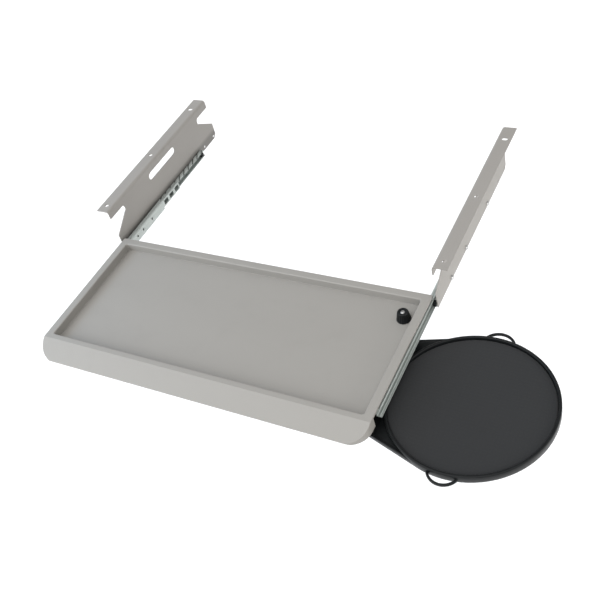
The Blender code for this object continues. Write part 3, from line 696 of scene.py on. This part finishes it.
def flat_blank():
    bm = bmesh.new()
    for outline in [blank_outline()] + blank_holes():
        ring = [bm.verts.new((u, v, 0)) for u, v in outline]
        for a, b in zip(ring, ring[1:] + ring[:1]):
            bm.edges.new((a, b))
    bmesh.ops.triangle_fill(bm, edges=bm.edges, use_beauty=True, normal=(0, 0, 1))
    bmesh.ops.dissolve_limit(bm, angle_limit=0.01, verts=bm.verts, edges=bm.edges)
    for i in range(FOLD_SCORES + 1):
        height = WEB_RUN + FOLD_RUN * i / FOLD_SCORES
        bmesh.ops.bisect_plane(bm, geom=bm.verts[:] + bm.edges[:] + bm.faces[:], dist=1e-7,
                               plane_co=(0, height, 0), plane_no=(0, 1, 0))
    return bm


def folded_bracket(label, side):
    bm = flat_blank()
    for vert in bm.verts:
        vert.co = fold(vert.co, side)
    bm.normal_update()
    facing = sum(face.normal.z * face.calc_area() for face in bm.faces)
    if facing < 0:
        bmesh.ops.reverse_faces(bm, faces=bm.faces)
    mesh = bpy.data.meshes.new(label + "_folded_bracket")
    bm.to_mesh(mesh)
    bm.free()
    piece = bpy.data.objects.new(mesh.name, mesh)
    bpy.context.scene.collection.objects.link(piece)
    mesh.shade_smooth()
    gauge = piece.modifiers.new("gauge", "SOLIDIFY")
    gauge.thickness, gauge.offset = GAUGE, -1
    gauge.use_quality_normals = True
    soften(piece, 0.3 * MM, 2, radians(60))
    return fit(piece, "brackets", "bracket_paint", label + "_bracket")


for label, side in SIDES:
    piece = folded_bracket(label, side)
    print(piece.name, "from a blank with", len(piece.data.polygons), "faces")

# %% [markdown]
# ## Rolled slide sections
#
# A ball slide is three strips rolled into channels: one on the bracket, one on the tray, and a
# thin cage between them that spaces the balls. A rolled flange isn't flat. It has a groove
# where the balls run, and round corners where the strip was turned. Each section is drawn as
# the line that the strip's middle follows, given its gauge, and pushed along the slide.

# %% Rolled sections
SLIDE_GAUGE, CAGE_GAUGE = 1.0 * MM, 0.6 * MM


def gauge_line(line, gauge):
    """Both faces of a strip whose middle follows line, as one closed outline."""
    left, right = [], []
    for i, (x, z) in enumerate(line):
        (x0, z0), (x1, z1) = line[max(i - 1, 0)], line[min(i + 1, len(line) - 1)]
        run = Vector((x1 - x0, z1 - z0)).normalized()
        normal = Vector((-run.y, run.x)) * gauge / 2
        left.append((x + normal.x, z + normal.y))
        right.append((x - normal.x, z - normal.y))
    return left + right[::-1]


def half_line(depth, height, gauge, turn, groove):
    """Middle of a channel's upper half, from its back's centre to its flange's tip.

    groove is (place along the flange, half width, depth) of the ball race.
    """
    half, top = gauge / 2, height / 2 - gauge / 2
    at, wide, deep = groove
    line = [(half, 0)] + [(half + turn * (1 - cos(a)), top - turn + turn * sin(a))
                          for a in (0, pi / 8, pi / 4, 3 * pi / 8, pi / 2)]
    line += [(at + wide * t, top - deep * (0.5 + 0.5 * cos(pi * t))) for t in
             (-1, -0.75, -0.5, -0.25, 0, 0.25, 0.5, 0.75, 1)]
    lip = 0.55 * MM
    return line + [(depth - half - lip, top)] + [
        (depth - half - lip * (1 - sin(a)), top - lip * (1 - cos(a))) for a in (pi / 6, pi / 3, pi / 2)]


def rolled(name, face, outwards, y_span, depth, height, gauge, turn, groove):
    """A channel whose back's outer face is at x = face and whose flanges reach outwards."""
    upper = half_line(depth, height, gauge, turn, groove)
    line = [(u, -w) for u, w in reversed(upper[1:])] + upper
    outline = [(face + outwards * u, RAIL_Z + w) for u, w in gauge_line(line, gauge)]
    return strip(name, outline, *y_span)


def rods(name, places, radius, x_span, steps=20):
    """Round cutters along X at (y, z) places."""
    return [lathe(f"{name}_{i}", [(radius, x_span[0]), (radius, x_span[1])], (0, y, z), "X", steps)
            for i, (y, z) in enumerate(places)]


print("strip gauges:", SLIDE_GAUGE, "and", CAGE_GAUGE, "m")

# %% [markdown]
# ## Channels on the tray
#
# The tray's channels run down both its sides, and on behind it, with three spare holes in a
# row. The holes are punched, so they are cut straight through.

# %% Tray channels
CHANNEL_DEPTH, CHANNEL_TALL = 7.5 * MM, 16.5 * MM
CHANNEL_SCREW_YS = (-0.452, -0.382, -0.312)
CHANNEL_SPARE_YS = (-0.268, -0.252, -0.226)
CHANNEL_SCREW_HOLE_R, CHANNEL_SPARE_R = 3.3 * MM, 2.0 * MM


def tray_channel(label, side):
    node = label + "_tray_channel"
    low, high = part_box(node)
    face = min(abs(low.x), abs(high.x)) * side
    piece = rolled(label + "_rolled_channel", face, side, (low.y, high.y), CHANNEL_DEPTH,
                   CHANNEL_TALL, SLIDE_GAUGE, 1.6 * MM, (4.3 * MM, 1.0 * MM, 0.55 * MM))
    reach = sorted((face - side * 1 * MM, face + side * 2.5 * MM))
    cutters = rods("screw", [(y, RAIL_Z) for y in CHANNEL_SCREW_YS], CHANNEL_SCREW_HOLE_R, reach)
    cutters += rods("spare", [(y, RAIL_Z + 1 * MM) for y in CHANNEL_SPARE_YS], CHANNEL_SPARE_R, reach)
    bore(piece, cutters)
    return fit(piece, "tray", "zinc_plate", node)


for label, side in SIDES:
    print(tray_channel(label, side).name)

# %% [markdown]
# ## Fixed rails, cages and balls
#
# The fixed rail is narrower and faces the other way, with slots punched along its back. The
# cage is thin strip with a ladder of windows, and its flanges hold a row of balls above and
# below. The balls of one cage are one piece, since they travel together.

# %% Rails, cages and balls
RAIL_SLOT_YS = (-0.262, -0.211, -0.135, -0.110, -0.069)
RAIL_SLOT_HALF = (8 * MM, 2 * MM)
CAGE_WINDOWS = 9
WINDOW_SHARE, WINDOW_HALF_TALL, WINDOW_CORNER = 0.33, 4 * MM, 1 * MM
BALL_RADIUS, BALL_PITCH = 0.6 * MM, 14.6 * MM
BALL_INSET, BALL_HEIGHT = 1.9 * MM, 6.08 * MM


def cage_window(y, half_long):
    """A window's outline, as (y, z), with round corners."""
    u, v = half_long - WINDOW_CORNER, WINDOW_HALF_TALL - WINDOW_CORNER
    corners = [(y + u, RAIL_Z - v, -pi / 2), (y + u, RAIL_Z + v, 0),
               (y - u, RAIL_Z + v, pi / 2), (y - u, RAIL_Z - v, pi)]
    return [point for a, b, start in corners
            for point in arc((a, b), WINDOW_CORNER, start, start + pi / 2, 3)]


def fixed_rail(label, side):
    node = label + "_fixed_rail"
    low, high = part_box(node)
    face = max(abs(low.x), abs(high.x)) * side
    piece = rolled(label + "_rolled_rail", face, -side, (low.y, high.y), high.x - low.x,
                   high.z - low.z, SLIDE_GAUGE, 1.1 * MM, (6.0 * MM, 0.9 * MM, 0.4 * MM))
    reach = sorted((face - side * 3 * MM, face + side * 1 * MM))
    cutters = rods("rivet", [(y, RAIL_Z) for y in RIVET_YS], RAIL_HOLE_R, reach, 16)
    half_long, half_tall = RAIL_SLOT_HALF
    for i, y in enumerate(RAIL_SLOT_YS):
        outline = capsule((y - half_long, y + half_long), (RAIL_Z - half_tall, RAIL_Z + half_tall))
        cutters.append(slab(f"slot_{i}", outline, *reach, axis="X"))
    bore(piece, cutters)
    return fit(piece, "brackets", "zinc_plate", node)


def ball_cage(label, side):
    node = label + "_ball_cage"
    low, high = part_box(node)
    face = min(abs(low.x), abs(high.x)) * side
    piece = rolled(label + "_ladder_cage", face, side, (low.y, high.y), high.x - low.x,
                   high.z - low.z, CAGE_GAUGE, 1.0 * MM, (3.4 * MM, 0.6 * MM, 0.0))
    pitch = (high.y - low.y) / CAGE_WINDOWS
    reach = sorted((face - side * 1 * MM, face + side * 1.2 * MM))
    cutters = []
    for i in range(CAGE_WINDOWS):
        outline = cage_window(low.y + (i + 0.5) * pitch, WINDOW_SHARE * pitch)
        cutters.append(slab(f"window_{i}", outline, *reach, axis="X"))
    bore(piece, cutters)
    return fit(piece, label + "_cage", "zinc_plate", node)


def ball_rows(label, side):
    """The balls, above and below, each seated in the cage's flange."""
    low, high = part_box(label + "_ball_cage")
    x = side * (max(abs(low.x), abs(high.x)) - BALL_INSET)
    bm = bmesh.new()
    count = int((high.y - low.y) / BALL_PITCH)
    for row in (-1, 1):
        for i in range(count):
            y = low.y + (i + 0.5) * (high.y - low.y) / count
            place = Matrix.Translation((x, y, RAIL_Z + row * BALL_HEIGHT))
            bmesh.ops.create_icosphere(bm, subdivisions=3, radius=BALL_RADIUS, matrix=place)
    piece = link_piece(label + "_balls", bm, radians(60))
    return fit(piece, label + "_cage", "bright_steel")


for label, side in SIDES:
    made = (fixed_rail(label, side), ball_cage(label, side), ball_rows(label, side))
    print(", ".join(piece.name for piece in made))

# %% [markdown]
# ## Screws and rivets
#
# A screw head is told by its recess. Each head is turned, and a tapered cross is cut into it.
# The rivets' domes have a dimple where the setting tool held them. The big pivot bolt takes a
# hexagon key.

# %% Screws and rivets
HEAD_STEPS, RIVET_STEPS = 28, 24
CHANNEL_SCREW = {"head": 3.0 * MM, "height": 0.8 * MM, "shank": 1.5 * MM}
PLATE_SCREW = {"head": 4.0 * MM, "height": 2.2 * MM, "shank": 2.0 * MM}
HEXAGON_REACH, HEXAGON_DEPTH = 3.6 * MM, 2.6 * MM


def cross_cutters(name, place, axis, outwards, reach, width, depth):
    """Two crossed wedges that narrow towards the recess's floor."""
    wedges = []
    for turn in (0, pi / 2):
        rings = []
        for height, grow in ((0.6 * MM, 1.15), (-depth, 0.55)):
            ring = []
            for along, side in ((-1, -1), (1, -1), (1, 1), (-1, 1)):
                u, v = along * reach * grow, side * width / 2
                a, b = u * cos(turn) - v * sin(turn), u * sin(turn) + v * cos(turn)
                h = outwards * height
                ring.append(Vector(place) + Vector((a, b, h) if axis == "Z" else (h, a, b)))
            rings.append(ring)
        wedges.append(loft(f"{name}_{len(wedges)}", rings))
    return wedges


def signed(profile, direction):
    """The profile with its heights along direction, and no ring of zero radius."""
    return [(max(r, 0.02 * MM), direction * h) for r, h in profile]


def headed(name, node, place, axis, outwards, profile, cutters, body):
    """A turned head with a recess; profile heights run outwards from place."""
    piece = lathe(name, signed(profile, outwards), place, axis, HEAD_STEPS)
    bore(piece, cutters)
    return fit(piece, body, "bright_steel", node)


def cross_screw(name, node, place, axis, outwards, head_radius, head_height, shank, body):
    """A pan-head screw: place is under its head's rim; shank is (radius, length)."""
    r, h = head_radius, head_height
    profile = [(shank[0], -shank[1]), (shank[0], 0), (r, 0), (r, 0.35 * h), (0.93 * r, 0.62 * h),
               (0.75 * r, 0.85 * h), (0.45 * r, 0.97 * h), (0, h)]
    top = Vector(place) + Vector((0, 0, outwards * h) if axis == "Z" else (outwards * h, 0, 0))
    cutters = cross_cutters(name + "_cross", top, axis, outwards, 0.52 * r, 0.24 * r, 0.62 * h)
    return headed(name, node, place, axis, outwards, profile, cutters, body)


def rail_rivet(label, side, spot):
    node = f"{label}_rail_rivet_{spot}"
    low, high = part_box(node)
    y, outer = (low.y + high.y) / 2, max(abs(low.x), abs(high.x))
    inner = min(abs(low.x), abs(high.x))
    profile = [(0, inner), (3.0 * MM, inner), (3.0 * MM, inner + 0.8 * MM),
               (1.8 * MM, inner + 0.8 * MM), (1.8 * MM, outer - 2.2 * MM),
               (3.5 * MM, outer - 2.2 * MM), (3.35 * MM, outer - 1.7 * MM),
               (2.7 * MM, outer - 0.8 * MM), (1.7 * MM, outer - 0.15 * MM), (1.1 * MM, outer),
               (0.8 * MM, outer - 0.5 * MM), (0, outer - 0.6 * MM)]
    piece = lathe(f"{label}_domed_rivet_{spot}", signed(profile, side), (0, y, RAIL_Z), "X",
                  RIVET_STEPS)
    return fit(piece, "brackets", "bright_steel", node)


def channel_screw(label, side, spot):
    node, size = f"{label}_channel_screw_{spot}", CHANNEL_SCREW
    low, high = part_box(node)
    y, outer = (low.y + high.y) / 2, max(abs(low.x), abs(high.x))
    length = high.x - low.x
    place = (side * (outer - size["height"]), y, RAIL_Z)
    return cross_screw(f"{label}_cross_screw_{spot}", node, place, "X", side, size["head"],
                       size["height"], (size["shank"], length - size["height"] - 0.1 * MM), "tray")


def plate_screw(index):
    node, size = f"swivel_screw_{index}", PLATE_SCREW
    low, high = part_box(node)
    place = ((low.x + high.x) / 2, (low.y + high.y) / 2, low.z + size["height"])
    length = high.z - low.z - size["height"] - 0.1 * MM
    return cross_screw(f"plate_screw_{index}", node, place, "Z", -1, size["head"], size["height"],
                       (size["shank"], length), "tray")


def key_bolt():
    """The pivot bolt: shank, wide head and hexagon socket."""
    low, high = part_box("pivot_bolt")
    x, y = (low.x + high.x) / 2, (low.y + high.y) / 2
    hexagon = arc((x, y), HEXAGON_REACH, 0, 2 * pi, 6)[:-1]
    profile = [(5 * MM, low.z - high.z), (5 * MM, -4 * MM), (9 * MM, -4 * MM), (9 * MM, -1.5 * MM),
               (8.6 * MM, -0.7 * MM), (7.6 * MM, -0.15 * MM), (6.6 * MM, 0), (0, 0)]
    socket = slab("key_socket", hexagon, low.z - 1 * MM, low.z + HEXAGON_DEPTH)
    return headed("key_bolt", "pivot_bolt", (x, y, low.z), "Z", -1, profile, [socket], "tray")


for label, side in SIDES:
    for spot in ("front", "middle", "rear"):
        rail_rivet(label, side, spot)
        channel_screw(label, side, spot)
    print(label, "side: three rivets and three screws")

for index in (1, 2, 3, 4):
    plate_screw(index)
low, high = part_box("knob_screw")
knob_middle = (low + high) / 2
cross_screw("knob_cross_screw", "knob_screw", (knob_middle.x, knob_middle.y, low.z), "Z", 1,
            3.0 * MM, high.z - low.z, (1.4 * MM, 0.02 * MM), "knob")
key_bolt()
print("underside screws, knob screw and pivot bolt")

# %% [markdown]
# ## The tray
#
# The tray is one moulding: a rim with a recess for the keyboard, and a sloping palm rest in
# front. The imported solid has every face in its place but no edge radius. So its mesh is copied
# and cleaned, and its edges are rounded by kind: the rim's outline with the palm rest's crest,
# the recess's lip, the fillet where its floor meets its walls, and the undersides, finely.

# %% Tray
TRAY_TOP_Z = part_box("tray")[1].z
RECESS_X = (-241 * MM, 240 * MM)
RECESS_Y = (-487.6 * MM, -299.6 * MM)
RECESS_FLOOR_Z = -67 * MM
SEAM_ANGLE = radians(25)
PALM_RIB_OUTLINE = ((-0.5163, -0.0723), (-0.4912, -0.0723), (-0.4912, -0.0612))
PALM_RIBS, PALM_RIB_REACH, PALM_RIB_THICK = 9, 0.208, 1.8 * MM


def clean_copy(node):
    """The node's mesh as whole faces, without the triangles' inner edges."""
    bm = bmesh.new()
    bm.from_mesh(NODES[node].data)
    bmesh.ops.remove_doubles(bm, verts=bm.verts, dist=0.002 * MM)
    bmesh.ops.dissolve_limit(bm, angle_limit=radians(0.5), verts=bm.verts, edges=bm.edges)
    bm.normal_update()
    return bm


def round_edges(bm, chosen, width, segments):
    """Round the sharp edges for which chosen(middle, edge) is true."""
    edges = []
    for edge in bm.edges:
        if len(edge.link_faces) == 2 and edge.calc_face_angle() > SEAM_ANGLE:
            middle = (edge.verts[0].co + edge.verts[1].co) / 2
            if chosen(middle, edge):
                edges.append(edge)
    bmesh.ops.bevel(bm, geom=edges, offset=width, offset_type="OFFSET", segments=segments,
                    profile=0.5, affect="EDGES", clamp_overlap=True)
    bm.normal_update()
    return len(edges)


def in_recess(point):
    (x0, x1), (y0, y1) = RECESS_X, RECESS_Y
    return x0 - MM < point.x < x1 + MM and y0 - MM < point.y < y1 + MM


def is_rim(middle, edge):
    """Convex edges of the upper side, outside the recess: the rim's outline and the crest."""
    looks_up = any(face.normal.z > 0.3 for face in edge.link_faces)
    return looks_up and not in_recess(middle) and edge.calc_face_angle_signed() > 0


def is_lip(middle, edge):
    return in_recess(middle) and middle.z > TRAY_TOP_Z - 0.2 * MM


def is_fillet(middle, edge):
    on_floor = abs(middle.z - RECESS_FLOOR_Z) < 0.1 * MM
    return in_recess(middle) and on_floor and edge.calc_face_angle_signed() < 0


def is_under(middle, edge):
    return not in_recess(middle) and middle.z < TRAY_TOP_Z - 2.9 * MM


def moulded_tray():
    bm = clean_copy("tray")
    counts = [round_edges(bm, is_rim, 1.7 * MM, 4), round_edges(bm, is_lip, 1.8 * MM, 4),
              round_edges(bm, is_fillet, 2.4 * MM, 4), round_edges(bm, is_under, 0.35 * MM, 1)]
    print("tray edges rounded:", counts)
    piece = link_piece("moulded_tray", bm)
    piece.modifiers.new("normals", "WEIGHTED_NORMAL").keep_sharp = True
    return fit(piece, "tray", "tray_moulding", "tray")


def palm_ribs():
    """Stiffening ribs in the hollow under the palm rest."""
    bm = bmesh.new()
    for k in range(PALM_RIBS):
        x = -PALM_RIB_REACH + 2 * PALM_RIB_REACH * k / (PALM_RIBS - 1)
        skin(bm, [[(x + s * PALM_RIB_THICK / 2, y, z) for y, z in PALM_RIB_OUTLINE] for s in (-1, 1)])
    return fit(link_piece("palm_rest_ribs", bm), "tray", "tray_moulding")


moulded_tray()
palm_ribs()

# %% [markdown]
# ## The mouse platform
#
# Seen from above the platform is a teardrop: a round pan whose edges run in straight tangents
# to a smaller circle at its pivot. Its low plate carries a raised edge, the pan a taller lip,
# and a loop at front and rear keeps the mouse's cord. Rings that follow this outline at
# different insets and heights make the plate, with real radii on its edges. The lip is turned.

# %% Mouse platform
PLATFORM_LOW, PLATFORM_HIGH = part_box("mouse_platform")
MAT_LOW, MAT_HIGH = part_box("mouse_mat")
PAN_X, PAN_Y = (MAT_LOW.x + MAT_HIGH.x) / 2, (MAT_LOW.y + MAT_HIGH.y) / 2
MAT_R = (MAT_HIGH.x - MAT_LOW.x) / 2
PAN_R, PAN_INNER_R = PLATFORM_HIGH.x - PAN_X, MAT_R + 0.4 * MM
LIP_Z, PLATE_Z, PLATE_LOW_Z = PLATFORM_HIGH.z, MAT_LOW.z - 0.3 * MM, PLATFORM_LOW.z
PIVOT_X = sum(corner.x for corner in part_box("pivot_bolt")) / 2
TAIL_R = PIVOT_X - PLATFORM_LOW.x
EDGE_Z = -84.3 * MM
PAN_STEPS, UNDER_RIBS = 144, 12
LOOP_Z, STRAND_WIDE, STRAND_TALL = -87.0 * MM, 3.4 * MM, 3.6 * MM
print("pan radius", round(PAN_R / MM, 1), "mm, tail radius", round(TAIL_R / MM, 1), "mm")


def teardrop_ring(inset, z, steps=56):
    big, small = PAN_R - 0.3 * MM - inset, TAIL_R - inset
    turn = acos((big - small) / (PAN_X - PIVOT_X))
    flat = (arc((PAN_X, PAN_Y), big, -pi + turn, pi - turn, steps)
            + arc((PIVOT_X, PAN_Y), small, pi - turn, pi + turn, 20))
    return [Vector((x, y, z)) for x, y in flat]


def teardrop_plate():
    low, top, edge = PLATE_LOW_Z, PLATE_Z, EDGE_Z
    stack = [(3.0, low + 1.2 * MM), (2.6, low + 0.15 * MM), (2.2, low), (0.7, low),
             (0.2, low + 0.2 * MM), (0.0, low + 0.7 * MM), (0.0, edge - 0.8 * MM),
             (0.15, edge - 0.35 * MM), (0.5, edge - 0.08 * MM), (0.9, edge), (1.7, edge),
             (2.1, edge - 0.1 * MM), (2.4, edge - 0.4 * MM), (2.6, top + 0.5 * MM),
             (2.9, top + 0.1 * MM), (3.6, top)]
    rings = [teardrop_ring(inset * MM, z) for inset, z in stack]
    piece = loft("teardrop_plate", rings, smooth_angle=radians(50))
    return fit(piece, "platform", "black_plastic", "mouse_platform")


def pan_lip():
    inner, outer, top, low = PAN_INNER_R, PAN_R, LIP_Z, PLATE_LOW_Z
    profile = [(inner, PLATE_Z - 0.5 * MM), (inner, top - 1.3 * MM),
               (inner + 0.15 * MM, top - 0.6 * MM), (inner + 0.5 * MM, top - 0.2 * MM),
               (inner + 1.1 * MM, top), (outer - 1.4 * MM, top), (outer - 0.7 * MM, top - 0.2 * MM),
               (outer - 0.2 * MM, top - 0.7 * MM), (outer, top - 1.4 * MM), (outer, low + 1.2 * MM),
               (outer - 0.35 * MM, low + 0.4 * MM), (outer - 1.1 * MM, low),
               (inner + 0.3 * MM, low), (inner, low + 0.5 * MM)]
    piece = lathe("pan_lip", profile, (PAN_X, PAN_Y, 0), steps=PAN_STEPS, closed=True,
                  smooth_angle=radians(50))
    return fit(piece, "platform", "black_plastic")


def rounded_square(wave):
    """Swells a circle's sine or cosine towards a square with round corners."""
    return copysign(abs(wave) ** 0.6, wave)


def cord_loop(label, direction, shift, half, reach):
    """A rounded strand that bows out of the pan's wall."""
    bow = (half ** 2 + reach ** 2) / (2 * reach)
    centre_y = PAN_R + reach - bow - 1 * MM
    radius = bow - STRAND_WIDE / 2
    spread = asin(min(1.0, (half - STRAND_WIDE / 2) / radius)) + 0.18
    path = [Vector((PAN_X + shift + u, PAN_Y + direction * v, LOOP_Z))
            for u, v in arc((0, centre_y), radius, pi / 2 + spread, pi / 2 - spread, 28)]
    section = [(STRAND_WIDE / 2 * rounded_square(cos(a)), STRAND_TALL / 2 * rounded_square(sin(a)))
               for a in (2 * pi * k / 16 for k in range(16))]
    return fit(sweep(label + "_cord_loop", path, section), "platform", "black_plastic")


def under_ribs():
    """Shallow ribs under the plate, from the pan's middle out to its wall."""
    bm = bmesh.new()
    thick, low, high = 1.6 * MM, PLATE_LOW_Z, PLATE_LOW_Z + 1.4 * MM
    for k in range(UNDER_RIBS):
        a = 2 * pi * k / UNDER_RIBS
        n = Vector((-sin(a), cos(a), 0)) * thick / 2
        ends = [Vector((PAN_X + r * cos(a), PAN_Y + r * sin(a), 0))
                for r in (14 * MM, PAN_INNER_R + 1 * MM)]
        skin(bm, [[c + n * s + Vector((0, 0, z)) for s, z in
                   ((-1, low), (1, low), (1, high), (-1, high))] for c in ends])
    return fit(link_piece("platform_under_ribs", bm), "platform", "black_plastic")


teardrop_plate()
pan_lip()
cord_loop("front", -1, 0, 19 * MM, 12.4 * MM)
cord_loop("rear", 1, 3.5 * MM, 20.5 * MM, 14 * MM)
under_ribs()
print("mouse platform: plate, lip, two loops and ribs")

# %% [markdown]
# ## The mat
#
# A disc of cloth-faced foam drops inside the lip. Foam cut with a die keeps a slightly pillowed
# edge, so the mat's rings fall away over its last two millimetres.

# %% Mat
def round_mat():
    low, high = MAT_LOW.z, MAT_HIGH.z
    edge = [(-1.5 * MM, low), (-0.15 * MM, low), (0, low + 0.3 * MM), (-0.05 * MM, high - 0.65 * MM),
            (-0.4 * MM, high - 0.3 * MM), (-1.1 * MM, high - 0.08 * MM), (-2.2 * MM, high),
            (-12 * MM, high)]
    profile = [(MAT_R + inset, z) for inset, z in edge]
    piece = lathe("cloth_mat", profile, (PAN_X, PAN_Y, 0), steps=PAN_STEPS, smooth_angle=radians(60))
    return fit(piece, "platform", "charcoal_mat", "mouse_mat")


print(round_mat().name)

# %% [markdown]
# ## The stop knob
#
# The knob stands in the recess's rear right corner. It tapers, so fingers can lift against it,
# and its side is fluted for grip. The flutes are made by drawing each ring with a ripple that
# fades out at the shoulder and at the foot.

# %% Stop knob
FLUTES, FLUTE_DEPTH, KNOB_STEPS = 18, 0.55 * MM, 108
KNOB_TOP_R = 7.2 * MM


def fluted_ring(centre, radius, z, depth):
    points = []
    for k in range(KNOB_STEPS):
        a = 2 * pi * k / KNOB_STEPS
        r = radius - depth * (0.5 - 0.5 * cos(FLUTES * a)) ** 2
        points.append((centre.x + r * cos(a), centre.y + r * sin(a), z))
    return points


def fluted_knob():
    low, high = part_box("stop_knob")
    centre, foot_r = (low + high) / 2, (high.x - low.x) / 2
    top_r, height = KNOB_TOP_R, high.z - low.z
    taper = {t: foot_r + (top_r - foot_r) * t for t in (0.08, 0.14, 0.5, 0.84, 0.9, 0.94)}
    stack = [(foot_r - 0.4 * MM, 0.0, 0), (foot_r, 0.03, 0), (taper[0.08], 0.08, 0),
             (taper[0.14], 0.14, 1), (taper[0.5], 0.5, 1), (taper[0.84], 0.84, 1),
             (taper[0.9], 0.9, 0.4), (taper[0.94] - 0.1 * MM, 0.94, 0), (top_r - 0.35 * MM, 0.985, 0),
             (top_r - 0.9 * MM, 1.0, 0), (3.9 * MM, 1.0, 0), (3.5 * MM, 0.985, 0),
             (3.4 * MM, 0.94, 0), (3.4 * MM, 1 - 1.5 * MM / height, 0)]
    rings = [fluted_ring(centre, r, low.z + t * height, FLUTE_DEPTH * f) for r, t, f in stack]
    piece = loft("fluted_knob", rings, smooth_angle=radians(40))
    return fit(piece, "knob", "black_plastic", "stop_knob")


print(fluted_knob().name)

# %% [markdown]
# ## The solids that stay
#
# The bumpers, the buffers and the hardware round the pivot already have their true shape. They
# only need their edges eased.

# %% Ease the remaining edges
KEPT = [f"{label}_{part}" for label, _ in SIDES for part in ("front_bumper", "rear_buffer")]
KEPT += ["swivel_plate", "pivot_spacer", "pivot_washer", "stop_bush", "stop_cam", "cam_nut",
         "knob_stud"]
for node in KEPT:
    soften(NODES[node], 0.2 * MM)
print("eased", len(KEPT), "solids")

# %% [markdown]
# ## Sizes
#
# The finished model has to fill the same box as the imported one. Both boxes are measured,
# and how far each side grew is printed.

# %% Sizes
SHOWN_BOX = [list(corner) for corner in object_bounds()]
growth = [[round((b - a) / MM, 2) for a, b in zip(x, y)] for x, y in zip(CAD_BOX, SHOWN_BOX)]
print("growth, mm:", growth)
